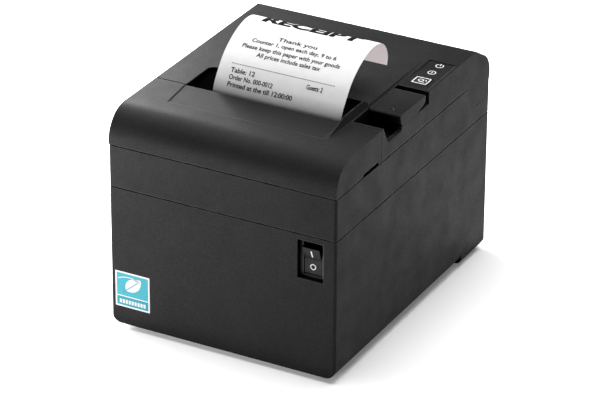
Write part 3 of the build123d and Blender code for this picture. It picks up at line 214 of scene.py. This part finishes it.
def paper(name, base, tint, roughness=0.8, glow=0.0):
    """Coated till paper: faint fibres and a slight mottle, with painted shade in hollows. glow stands for
    light that comes through.
    """
    f = Finish(name, roughness, Specular_IOR_Level=0.25, Emission_Color=(*base, 1.0), Emission_Strength=glow)
    fibre = f.noise(1500.0, 4.0, stretch=(1.0, 0.35, 0.35))
    mottle = f.noise(180.0, 3.0)
    shade = f.mix(f.spread(mottle, 0.3, 0.75), base, tint)
    shade = f.mix(f.spread(fibre, 0.55, 0.8, 0.0, 0.35), shade, tint)
    # Painted shade: darker where the paper is enclosed, towards the slot, and a near-black line at its foot.
    shade = f.mix(f.hollows(0.045, 0.4, 0.95), tuple(channel * 0.36 for channel in base), shade)
    f.set("Base Color", f.mix(f.hollows(0.006, 0.42, 0.66), grey(0.01), shade))
    f.bump(fibre, 0.00001, 0.35)
    return f.material


def roll_paper(axis_y, axis_z):
    """The wound roll: the paper's edges show as fine rings round the core."""
    f = Finish("roll_paper", 0.85, Specular_IOR_Level=0.2)
    split = f.node("ShaderNodeSeparateXYZ", {0: f.place})
    y = f.calc("SUBTRACT", split.outputs["Y"], axis_y)
    z = f.calc("SUBTRACT", split.outputs["Z"], axis_z)
    flat = f.node("ShaderNodeCombineXYZ", {"X": y, "Y": z})
    radius = f.node("ShaderNodeVectorMath", {0: flat.outputs[0]}, operation="LENGTH").outputs["Value"]
    rings = f.node("ShaderNodeTexNoise", {"W": radius, "Scale": 2600.0, "Detail": 3.0},
                   noise_dimensions="1D").outputs[0]
    f.set("Base Color", f.mix(f.spread(rings, 0.35, 0.7), grey(0.55), (0.86, 0.86, 0.85)))
    f.bump(rings, 0.00004, 0.6)
    return f.material


def cardboard():
    """Spiral-wound board with its seam."""
    f = Finish("cardboard", 0.9, Specular_IOR_Level=0.15)
    fibre = f.noise(900.0, 5.0, stretch=(0.4, 1.0, 1.0))
    wrap = f.waves(28.0, "DIAGONAL", 0.6)
    shade = f.mix(f.spread(fibre, 0.3, 0.7), (0.27, 0.17, 0.09), (0.42, 0.29, 0.17))
    f.set("Base Color", f.mix(f.spread(wrap, 0.9, 1.0, 0.0, 0.5), shade, (0.2, 0.12, 0.06)))
    f.bump(fibre, 0.00004, 0.6)
    return f.material


def rubber(name, shade, grain):
    """Ground rubber with a fine tooth and a dusty bloom."""
    f = Finish(name, 0.75, Specular_IOR_Level=0.3)
    f.soft_edges(0.0004)
    tooth = f.noise(grain, 3.0)
    bloom = f.noise(130.0, 4.0)
    f.set("Base Color", f.mix(f.spread(bloom, 0.4, 0.75, 0.0, 0.6), grey(shade), grey(shade * 2.2)))
    f.set("Roughness", f.spread(tooth, 0.3, 0.7, 0.65, 0.85))
    f.bump(tooth, 0.00005, 0.5)
    return f.material


def circuit_board():
    """Green solder mask over a raised copper pattern, with pale print flecks."""
    f = Finish("circuit_board", 0.38, Specular_IOR_Level=0.5)
    f.soft_edges(0.0002)
    tracks = f.node("ShaderNodeTexBrick", {"Vector": f.place, "Scale": 220.0, "Mortar Size": 0.09,
                                           "Color1": (0, 0, 0, 1), "Color2": (0, 0, 0, 1),
                                           "Mortar": (1, 1, 1, 1)}).outputs["Color"]
    pads = f.spread(f.cells(420.0), 0.16, 0.12)
    mask = f.mix(tracks, (0.008, 0.075, 0.03), (0.02, 0.15, 0.06))
    shade = f.mix(f.calc("MULTIPLY", pads, 0.8), mask, (0.45, 0.42, 0.3))
    f.set("Base Color", shade)
    f.bump(tracks, 0.00003, 0.5)
    return f.material


def clear_plastic():
    """Slightly hazy light pipe."""
    f = Finish("clear_plastic", 0.18, IOR=1.49, Transmission_Weight=0.55)
    haze = f.noise(400.0, 3.0)
    f.set("Base Color", f.mix(haze, grey(0.62), grey(0.85)))
    f.bump(haze, 0.00002, 0.4)
    return f.material


def printed(name, ink, lift, roughness=0.6, specular=0.3, grain=1600.0):
    """Screen or thermal print: slightly uneven ink."""
    f = Finish(name, roughness, Specular_IOR_Level=specular)
    spots = f.noise(grain, 3.0)
    f.set("Base Color", f.mix(f.spread(spots, 0.45, 0.75, 0.0, 0.6), ink, lift))
    f.set("Roughness", f.spread(spots, 0.3, 0.7, roughness - 0.06, roughness + 0.08))
    f.bump(spots, 0.000006, 0.5)
    return f.material


def film(name, dark, light, roughness):
    """Hard-coated printed film with a fine orange peel."""
    f = Finish(name, roughness, Specular_IOR_Level=0.2)
    peel = f.noise(900.0, 2.0)
    haze = f.noise(60.0, 3.0)
    f.set("Base Color", f.mix(f.spread(haze, 0.35, 0.7), dark, light))
    f.set("Roughness", f.spread(haze, 0.3, 0.7, roughness - 0.05, roughness + 0.07))
    f.bump(peel, 0.000015, 0.4)
    return f.material


# The box round the cover's paper slot. The case plastic inside it is painted dead black as shade.
SLOT_BOX = ((-0.0512, -0.0412, 0.1185), (0.0473, -0.0138, 0.1306))
# Each moulded finish's third colour lightens its edges: rubbed wear and a painted highlight.
case_plastic = moulded("case_plastic", grey(0.0065), grey(0.0085), grey(0.1), 0.54, specular=0.1,
                       painted_shade_box=SLOT_BOX)
inner_plastic = moulded("inner_plastic", grey(0.006), grey(0.009), grey(0.02), 0.55, grain=1400.0,
                        specular=0.2)
switch_plastic = moulded("switch_plastic", grey(0.008), grey(0.011), grey(0.03), 0.36, depth=0.00002,
                         edge=0.0003)
rocker_plastic = moulded("rocker_plastic", grey(0.003), grey(0.004), grey(0.012), 0.3, depth=0.00001,
                         edge=0.0004, specular=0.2)
key_plastic = moulded("key_plastic", grey(0.012), grey(0.016), grey(0.04), 0.4, depth=0.00003, edge=0.0003)
port_plastic = moulded("port_plastic", grey(0.01), grey(0.014), grey(0.03), 0.42, depth=0.00002, edge=0.0002)
white_plastic = moulded("white_plastic", grey(0.6), grey(0.68), grey(0.75), 0.42, depth=0.00002, edge=0.0002)
steel = metal("steel", grey(0.4), grey(0.58), 0.24)
spring_steel = metal("spring_steel", grey(0.3), grey(0.46), 0.3, stretch=(1.0, 1.0, 1.0))
blade_steel = metal("blade_steel", grey(0.5), grey(0.66), 0.2, stretch=(0.02, 1.0, 1.0))
motor_can = metal("motor_can", grey(0.28), grey(0.4), 0.36, stretch=(1.0, 1.0, 0.05))
port_steel = metal("port_steel", grey(0.5), grey(0.64), 0.28, stretch=(0.1, 0.1, 1.0))
brass = metal("brass", (0.5, 0.34, 0.13), (0.68, 0.48, 0.2), 0.3)
aluminium = metal("aluminium", grey(0.56), grey(0.7), 0.36, stretch=(0.03, 1.0, 1.0))
ceramic = printed("ceramic", grey(0.5), grey(0.62), 0.3, specular=0.5, grain=700.0)

FINISHES = {
    "case_plastic": case_plastic, "inner_plastic": inner_plastic, "switch_plastic": switch_plastic,
    "rocker_plastic": rocker_plastic, "key_plastic": key_plastic, "port_plastic": port_plastic,
    "white_plastic": white_plastic, "steel": steel, "spring_steel": spring_steel,
    "blade_steel": blade_steel, "motor_can": motor_can, "port_steel": port_steel, "brass": brass,
    "aluminium": aluminium, "ceramic": ceramic, "zinc_sheet": zinc(), "circuit_board": circuit_board(),
    "clear_plastic": clear_plastic(), "cardboard": cardboard(), "rubber": rubber("rubber", 0.014, 1200.0),
    "rubber_roller": rubber("rubber_roller", 0.02, 2200.0),
    "overlay_film": film("overlay_film", grey(0.0085), grey(0.011), 0.34),
    "label_film": film("label_film", (0.48, 0.5, 0.5), (0.54, 0.55, 0.55), 0.4),
    "paper": paper("paper", grey(0.64), grey(0.69)),
}


roll_low, roll_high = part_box("paper_roll")
wound = roll_paper((roll_low.y + roll_high.y) / 2, (roll_low.z + roll_high.z) / 2)
for obj in nodes.values():
    for cell in obj.material_slots:
        own = FINISHES.get(cell.material.name.split(".")[0] if cell.material else "")
        if own:
            cell.material = own
for cell in nodes["paper_roll"].material_slots:
    cell.material = wound


# --------------------------------------------------------------------------------------------------
# Building helpers
# --------------------------------------------------------------------------------------------------

def piece(name, mesh, finish, body):
    """A new shown piece that rides on a body."""
    obj = bpy.data.objects.new(name, mesh)
    bpy.context.scene.collection.objects.link(obj)
    for made in finish if isinstance(finish, tuple) else (finish,):
        mesh.materials.append(made)
    for face in mesh.polygons:
        face.use_smooth = False
    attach(obj, body)
    return obj


def slab_mesh(name, shapes, thickness, place):
    """Flat closed shapes, each a list of rings of (u, v) in mm, the first the outside and the rest holes,
    raised by thickness. place turns (u, v, height), in mm, into a point in mm."""
    mesh = bpy.data.meshes.new(name)
    bm = bmesh.new()
    for rings in shapes:
        edges = []
        for ring in rings:
            verts = [bm.verts.new((u, v, 0.0)) for u, v in ring]
            edges += [bm.edges.new((verts[i], verts[(i + 1) % len(verts)])) for i in range(len(verts))]
        made = bmesh.ops.triangle_fill(bm, edges=edges, use_beauty=True, use_dissolve=False, normal=(0, 0, 1))
        faces = [g for g in made["geom"] if isinstance(g, bmesh.types.BMFace)]
        for face in faces:
            if face.normal.z < 0:
                face.normal_flip()
        raised = bmesh.ops.extrude_face_region(bm, geom=faces, use_keep_orig=True)
        for vert in (g for g in raised["geom"] if isinstance(g, bmesh.types.BMVert)):
            vert.co.z = thickness
    bmesh.ops.recalc_face_normals(bm, faces=bm.faces)
    for vert in bm.verts:
        vert.co = Vector(place(*vert.co)) * MM
    bmesh.ops.recalc_face_normals(bm, faces=bm.faces)
    bm.to_mesh(mesh)
    bm.free()
    return mesh


def circle(u, v, radius, start=0.0, end=360.0, steps=40):
    """Points on an arc; a full turn leaves its last point out."""
    count = steps if end - start == 360.0 else steps + 1
    return [(u + radius * math.cos(math.radians(start + (end - start) * i / steps)),
             v + radius * math.sin(math.radians(start + (end - start) * i / steps))) for i in range(count)]


def arc_band(u, v, radius, width, start, end, steps=32):
    """A round-ended arc stroke as one ring."""
    outer = circle(u, v, radius + width / 2, start, end, steps)
    inner = circle(u, v, radius - width / 2, start, end, steps)
    return [outer + inner[::-1]]


def bar(u0, u1, v0, v1):
    return [[(u0, v0), (u1, v0), (u1, v1), (u0, v1)]]


def rounded(u0, u1, v0, v1, radius, steps=6):
    """A rectangle with round corners, as one ring."""
    ring = []
    for cu, cv, start in ((u1 - radius, v1 - radius, 0), (u0 + radius, v1 - radius, 90),
                          (u0 + radius, v0 + radius, 180), (u1 - radius, v0 + radius, 270)):
        ring += circle(cu, cv, radius, start, start + 90, steps)
    return ring


def stroke(points, width):
    """A polyline stroke of even width with mitred corners, as one ring."""
    left, right = [], []
    for i, (u, v) in enumerate(points):
        before = Vector(points[max(i - 1, 0)])
        here = Vector((u, v))
        after = Vector(points[min(i + 1, len(points) - 1)])
        a = (here - before).normalized() if i else (after - here).normalized()
        b = (after - here).normalized() if i < len(points) - 1 else a
        middle = (a + b).normalized()
        side = Vector((-middle.y, middle.x))
        reach = width / 2 / max(0.3, side.dot(Vector((-a.y, a.x))))
        left.append(tuple(here + side * reach))
        right.append(tuple(here - side * reach))
    return [left + right[::-1]]


CAP_SHARE = 0.729        # the height of the font's capitals as a share of its size


def text_mesh(words, height, weight=0.0, width=None):
    """Lettering as a flat mesh in mm, baseline on 0, capitals this high, as wide as width if given."""
    curve = bpy.data.curves.new("lettering", "FONT")
    curve.body = words
    curve.size = 1.0
    curve.offset = weight
    curve.extrude = 0.01
    curve.resolution_u = 3
    obj = bpy.data.objects.new("lettering", curve)
    bpy.context.scene.collection.objects.link(obj)
    bpy.context.view_layer.update()
    mesh = bpy.data.meshes.new_from_object(obj.evaluated_get(bpy.context.evaluated_depsgraph_get()))
    bpy.data.objects.remove(obj)
    bpy.data.curves.remove(curve)
    low = min(v.co.x for v in mesh.vertices)
    high = max(v.co.x for v in mesh.vertices)
    up = height / CAP_SHARE
    across = width / (high - low) if width else up
    for v in mesh.vertices:
        v.co = ((v.co.x - low) * across, v.co.y * up, v.co.z)
    return mesh


# --------------------------------------------------------------------------------------------------
# Receipt strip
# --------------------------------------------------------------------------------------------------

STRIP_PATH = ((-38.65, 121.0), (-38.65, 126.0), (-38.3, 129.0), (-37.2, 132.2), (-35.3, 135.6),
              (-33.0, 138.8), (-28.6, 144.4), (-24.5, 148.3), (-18.8, 152.2), (-12.5, 155.3), (-6.0, 157.4),
              (0.0, 158.2), (6.0, 157.6), (10.0, 156.0), (13.2, 153.4), (15.6, 149.8), (16.7, 145.4),
              (15.9, 140.7))
STRIP_THICKNESS = 0.12
INK_LIFT = 0.08


def smooth_path(points, steps):
    """A Catmull-Rom line through the points."""
    line = []
    for i in range(len(points) - 1):
        p0, p1 = Vector(points[max(i - 1, 0)]), Vector(points[i])
        p2, p3 = Vector(points[i + 1]), Vector(points[min(i + 2, len(points) - 1)])
        for k in range(steps):
            t = k / steps
            line.append(0.5 * (2 * p1 + (p2 - p0) * t + (2 * p0 - 5 * p1 + 4 * p2 - p3) * t ** 2
                               + (3 * p1 - p0 - 3 * p2 + p3) * t ** 3))
    return line + [Vector(points[-1])]


strip_line = smooth_path(STRIP_PATH, 8)
strip_length = [0.0]
for start, end in zip(strip_line, strip_line[1:]):
    strip_length.append(strip_length[-1] + (end - start).length)


def front_normal(i):
    """Unit normal of the strip's printed face at point i of its line, as (y, z)."""
    along = (strip_line[min(i + 1, len(strip_line) - 1)] - strip_line[max(i - 1, 0)]).normalized()
    return Vector((-along.y, along.x))


def on_strip(x, s, height):
    """The point at x, at s mm along the strip, height mm proud of its printed face."""
    i = 0
    while i < len(strip_length) - 2 and strip_length[i + 1] < s:
        i += 1
    share = (s - strip_length[i]) / (strip_length[i + 1] - strip_length[i])
    normal = front_normal(i).lerp(front_normal(i + 1), share).normalized()
    spot = strip_line[i].lerp(strip_line[i + 1], share) + normal * height
    return x, spot.x, spot.y


def receipt_strip():
    """The printed strip, a thin closed sheet that is white in front and a little pink behind."""
    low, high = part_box("receipt")
    x0, x1 = low.x / MM, high.x / MM
    bm = bmesh.new()
    rows = []
    columns = 24
    for side in (0.0, -STRIP_THICKNESS):
        rows.append([[bm.verts.new(Vector((x0 + (x1 - x0) * k / columns, *(p + front_normal(i) * side))) * MM)
                      for k in range(columns + 1)] for i, p in enumerate(strip_line)])
    front, back = rows
    last = len(strip_line) - 1
    for i in range(last):
        for k in range(columns):
            bm.faces.new((front[i][k], front[i][k + 1], front[i + 1][k + 1], front[i + 1][k])).smooth = True
            face = bm.faces.new((back[i][k], back[i + 1][k], back[i + 1][k + 1], back[i][k + 1]))
            face.smooth = True
            face.material_index = 1
        for k in (0, columns):
            bm.faces.new((front[i][k], front[i + 1][k], back[i + 1][k], back[i][k]))
    for i in (0, last):
        for k in range(columns):
            bm.faces.new((front[i][k], back[i][k], back[i][k + 1], front[i][k + 1]))
    bmesh.ops.recalc_face_normals(bm, faces=bm.faces)
    for edge in bm.edges:
        if len({f.smooth for f in edge.link_faces}) == 2:
            edge.smooth = False
    mesh = bpy.data.meshes.new("receipt_strip")
    bm.to_mesh(mesh)
    bm.free()
    keep_smooth = [p.use_smooth for p in mesh.polygons]
    back_paper = paper("paper_back", (0.84, 0.76, 0.77), (0.9, 0.82, 0.83), 0.85, glow=0.5)
    obj = piece("receipt_strip", mesh, (FINISHES["paper"], back_paper), "cover")
    mesh.polygons.foreach_set("use_smooth", keep_smooth)
    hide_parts("receipt")
    return obj


def bend_text(mesh, x, s):
    """Lays lettering on the strip, cut finely across so that it follows the curl."""
    bm = bmesh.new()
    bm.from_mesh(mesh)
    low = min(v.co.y for v in bm.verts)
    high = max(v.co.y for v in bm.verts)
    cuts = max(1, int((high - low) / 0.6))
    for i in range(1, cuts):
        level = low + (high - low) * i / cuts
        bmesh.ops.bisect_plane(bm, geom=bm.verts[:] + bm.edges[:] + bm.faces[:],
                               plane_co=(0, level, 0), plane_no=(0, 1, 0))
    for v in bm.verts:
        lift = INK_LIFT if v.co.z > 0 else -INK_LIFT
        v.co = Vector(on_strip(x + v.co.x, s + v.co.y, lift)) * MM
    bmesh.ops.recalc_face_normals(bm, faces=bm.faces)
    bm.to_mesh(mesh)
    bm.free()
    return mesh


# words, first x, last x, baseline along the strip, capital height, weight
PRINT_LINES = (
    ("header", "RECEIPT", -27.0, 33.4, 59.6, 8.0, 0.05),
    ("line_1", "Thank you", -9.4, 14.8, 45.5, 2.7, 0.012),
    ("line_2", "Counter 1, open each day, 9 to 6", -23.5, 28.6, 41.2, 2.7, 0.012),
    ("line_3", "Please keep this paper with your goods", -27.3, 32.9, 36.6, 2.7, 0.012),
    ("line_4", "All prices include sales tax", -16.7, 22.5, 32.5, 2.7, 0.012),
    ("line_5", "Table: 12", -28.4, -13.5, 21.0, 2.8, 0.014),
    ("line_6", "Guests: 2", 18.6, 28.4, 21.0, 2.8, 0.014),
    ("line_7", "Order No. 000-0012", -28.2, -1.2, 17.0, 2.8, 0.014),
    ("line_8", "Printed at the till 12:00:00", -28.0, 12.1, 12.9, 2.8, 0.014),
)


RULE_X0, RULE_X1, RULE_S = -28.8, 35.2, 25.8
RULE_DASH, RULE_PITCH, RULE_HEIGHT = 0.8, 1.6, 0.4


def receipt_print():
    """Generic till lettering and the dashed rule."""
    ink = printed("thermal_ink", grey(0.006), grey(0.015), 0.9, specular=0.02)
    soft_ink = printed("thermal_ink_fine", grey(0.008), grey(0.02), 0.9, specular=0.02)
    for name, words, x0, x1, s, height, weight in PRINT_LINES:
        mesh = text_mesh(words, height, weight, x1 - x0)
        chosen = ink if name == "header" else soft_ink
        piece("print_" + name, bend_text(mesh, x0, s), chosen, "cover")
    shapes = []
    x = RULE_X0
    while x < RULE_X1:
        shapes.append(bar(x, x + RULE_DASH, 0.0, RULE_HEIGHT))
        x += RULE_PITCH
    mesh = slab_mesh("print_rule", shapes, 1.0, lambda u, v, h: (u, v, 1000.0 if h > 0 else -1000.0))
    for v in mesh.vertices:
        v.co = (v.co.x / MM, v.co.y / MM, v.co.z)
    piece("print_rule", bend_text(mesh, 0.0, RULE_S), soft_ink, "cover")


# --------------------------------------------------------------------------------------------------
# Printed marks
# --------------------------------------------------------------------------------------------------

INK_HEIGHT = 0.02
LAMP_X = 60.0
white_ink = printed("white_ink", grey(0.62), grey(0.74), 0.5)


def on_level(z):
    """Puts a flat shape on a level face at z mm, u along +X and v along +Y."""
    return lambda u, v, h: (u, v, z + h)


def on_front(y):
    """Puts a flat shape on a face that looks along -Y, u along +X and v along +Z."""
    return lambda u, v, h: (u, y - h, v)


def panel_marks():
    """Power and error marks on the panel film, and the paper mark in its frame on the key."""
    film_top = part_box("panel_overlay")[1].z / MM
    power_y, error_y = 48.2, 38.4
    left, right = LAMP_X - 0.25, LAMP_X + 0.25
    power = arc_band(LAMP_X, power_y, 2.15, 0.5, -240.0, 60.0), bar(left, right, 48.4, 51.0)
    error = ([circle(LAMP_X, error_y, 2.4), circle(LAMP_X, error_y, 1.9)], bar(left, right, 38.0, 39.7),
             bar(left, right, 36.9, 37.4))
    mesh = slab_mesh("panel_marks", [*power, *error], INK_HEIGHT, on_level(film_top))
    piece("panel_marks", mesh, white_ink, "cover")
    low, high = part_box("feed_key")
    top = high.z / MM
    outer = rounded(55.3, 64.4, 21.9, 29.9, 0.9)
    inner = rounded(55.9, 63.8, 22.5, 29.3, 0.5)
    sheet = ([circle(59.4, 26.2, 1.7), circle(59.4, 26.2, 1.2)], bar(59.4, 62.2, 24.0, 24.4))
    arrow = stroke([(61.7, 27.6), (62.5, 26.6), (62.5, 25.6)], 0.4)
    mesh = slab_mesh("key_marks", [[outer, inner], *sheet, arrow], INK_HEIGHT, on_level(top))
    piece("key_marks", mesh, white_ink, "key")


def rocker_marks():
    """The stroke and the ring on the two faces of the rocker."""
    low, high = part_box("power_rocker")
    obj = nodes["power_rocker"]
    middle = (low.x + high.x) / 2 / MM
    faces = {}
    for poly in obj.data.polygons:
        if poly.normal.y < -0.7 and poly.area > 1e-6:
            key = round(poly.normal.z, 2)
            faces.setdefault(key, []).append(poly)
    ranked = sorted(faces.items(), key=lambda item: -sum(p.area for p in item[1]))[:2]
    shapes = {True: bar(-0.35, 0.35, -2.3, 2.3), False: [circle(0, 0, 1.75), circle(0, 0, 1.25)]}
    for _, polys in ranked:
        total = sum(p.area for p in polys)
        centre = sum((p.center * p.area for p in polys), Vector()) / total
        normal = polys[0].normal.copy()
        up = Vector((0, 0, 1)) - normal * normal.z
        up.normalize()
        upper = centre.z > (low.z + high.z) / 2

        def place(u, v, h, centre=centre, up=up, normal=normal):
            spot = centre / MM + up * v + normal * h
            return middle + u, spot.y, spot.z

        mesh = slab_mesh("rocker_mark", [shapes[upper]], INK_HEIGHT, place)
        piece("rocker_mark_on" if upper else "rocker_mark_off", mesh, white_ink, "rocker")


def label_print():
    """A plain sticker: cyan ground, a leaf under a sweep, and a band of bars in place of small print."""
    low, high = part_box("front_label")
    x0, x1, z0, z1 = low.x / MM, high.x / MM, low.z / MM, high.z / MM
    face = on_front(low.y / MM)
    cyan = printed("label_cyan", (0.035, 0.24, 0.29), (0.045, 0.27, 0.32), 0.45, specular=0.15)
    deep = printed("label_deep", (0.02, 0.18, 0.23), (0.03, 0.21, 0.26), 0.45, specular=0.15)
    white = printed("label_white", grey(0.46), grey(0.52), 0.45, specular=0.15)
    edge = 0.9
    band = z0 + 6.4
    mesh = slab_mesh("label_ground", [bar(x0 + edge, x1 - edge, band + 0.6, z1 - edge)], INK_HEIGHT, face)
    piece("label_ground", mesh, cyan, "base")
    mesh = slab_mesh("label_band", [bar(x0 + edge, x1 - edge, z0 + edge, band)], INK_HEIGHT, face)
    piece("label_band", mesh, deep, "base")
    u, v = (x0 + x1) / 2, (band + z1) / 2
    leaf = [(u - 4.2, v - 3.6), (u - 4.4, v - 0.2), (u - 2.6, v + 2.9), (u + 0.8, v + 4.4),
            (u + 5.2, v + 4.6), (u + 5.0, v + 0.6), (u + 3.2, v - 2.2), (u + 0.2, v - 3.9),
            (u - 3.0, v - 3.9)]
    leaf = [tuple(p) for p in smooth_path(leaf + [leaf[0]], 5)[:-1]]
    rib = stroke([(u - 6.4, v - 5.2), (u - 4.0, v - 3.4), (u - 0.6, v - 0.6), (u + 3.2, v + 2.6)], 0.5)
    shapes = [[leaf]]
    sweep = arc_band(x0 + 8.6, v - 9.4, 14.2, 0.5, 62.0, 118.0)
    mesh = slab_mesh("label_leaf", shapes + [sweep], INK_HEIGHT * 2, face)
    piece("label_leaf", mesh, white, "base")
    mesh = slab_mesh("label_rib", [rib], INK_HEIGHT * 3, face)
    piece("label_rib", mesh, deep, "base")
    small = []
    for i in range(9):
        left = x0 + 2.6 + i * 1.9
        small.append(bar(left, left + 1.3, z0 + 2.2, z0 + 4.6))
    mesh = slab_mesh("label_bars", small, INK_HEIGHT * 2, face)
    piece("label_bars", mesh, white, "base")


receipt_strip()
receipt_print()
panel_marks()
rocker_marks()
label_print()


# --------------------------------------------------------------------------------------------------
# Floor, light and camera
# --------------------------------------------------------------------------------------------------

def floor():
    """A wide pale sweep, flat under the object and curved up far behind it."""
    bm = bmesh.new()
    front, bend, radius, steps = -14.0, 6.0, 4.0, 10
    profile = [(front, 0.0), (bend, 0.0)]
    for i in range(1, steps + 1):
        angle = math.radians(90 * i / steps)
        profile.append((bend + radius * math.sin(angle), radius - radius * math.cos(angle)))
    rows = [[bm.verts.new((x, y, z)) for x in (-16.0, 16.0)] for y, z in profile]
    for a, b in zip(rows, rows[1:]):
        bm.faces.new((a[0], a[1], b[1], b[0])).smooth = True
    mesh = bpy.data.meshes.new("floor")
    bm.to_mesh(mesh)
    bm.free()
    obj = bpy.data.objects.new("floor", mesh)
    bpy.context.scene.collection.objects.link(obj)
    f = Finish("floor", 0.42, Specular_IOR_Level=0.3, Emission_Color=(1.0, 1.0, 1.0, 1.0),
               Emission_Strength=0.15)
    f.set("Base Color", f.mix(f.noise(3.0, 3.0), grey(0.92), grey(0.94)))
    mesh.materials.append(f.material)


def softbox(name, place, aim, width, height, power):
    """A soft area light that the camera itself does not see."""
    data = bpy.data.lights.new(name, "AREA")
    data.shape = "RECTANGLE"
    data.size = width
    data.size_y = height
    data.energy = power
    obj = bpy.data.objects.new(name, data)
    obj.location = place
    obj.rotation_euler = (Vector(aim) - Vector(place)).to_track_quat("-Z", "Y").to_euler()
    obj.visible_camera = False
    bpy.context.scene.collection.objects.link(obj)


# name, place, what it is aimed at, width, height, power
SOFTBOXES = (
    ("overhead", (-0.1, 0.1, 2.6), (0, 0, 0.1), 2.4, 2.4, 108.0),
    ("left", (-0.45, 0.2, 0.25), (-0.05, 0, 0.12), 0.4, 0.24, 9.6),
    ("near_left", (-0.3, -0.33, 0.06), (-0.09, -0.09, 0.05), 0.2, 0.1, 1.8),
)
WORLD_STRENGTH = 0.05


def lights():
    """A big overhead softbox, one near the left side and a small low one at the front left, in a dim room."""
    world = bpy.data.worlds.new("studio")
    world.use_nodes = True
    background = world.node_tree.nodes["Background"]
    background.inputs["Color"].default_value = (1.0, 1.0, 1.0, 1.0)
    background.inputs["Strength"].default_value = WORLD_STRENGTH
    bpy.context.scene.world = world
    for row in SOFTBOXES:
        softbox(*row)


AZIMUTH, ELEVATION, ROLL = math.radians(28.22), math.radians(26.96), math.radians(0.31)
CAMERA_PLACE = (0.8289, -1.5480, 0.9471)
LENS = 210.2


def camera():
    """Looks from the right and above, as the product picture does, with a long lens and a slight roll."""
    level = math.cos(ELEVATION)
    back = Vector((math.sin(AZIMUTH) * level, -math.cos(AZIMUTH) * level, math.sin(ELEVATION)))
    right = Vector((math.cos(AZIMUTH), math.sin(AZIMUTH), 0.0))
    up = back.cross(right)
    turned = (math.cos(ROLL) * right + math.sin(ROLL) * up,
              math.cos(ROLL) * up - math.sin(ROLL) * right,
              back)
    data = bpy.data.cameras.new("camera")
    data.sensor_width = 36.0
    data.lens = LENS
    data.clip_end = 60.0
    obj = bpy.data.objects.new("camera", data)
    obj.matrix_world = Matrix.Translation(CAMERA_PLACE) @ Matrix(turned).transposed().to_4x4()
    bpy.context.scene.collection.objects.link(obj)
    bpy.context.scene.camera = obj


floor()
lights()
camera()
bpy.context.scene.view_settings.view_transform = "Standard"
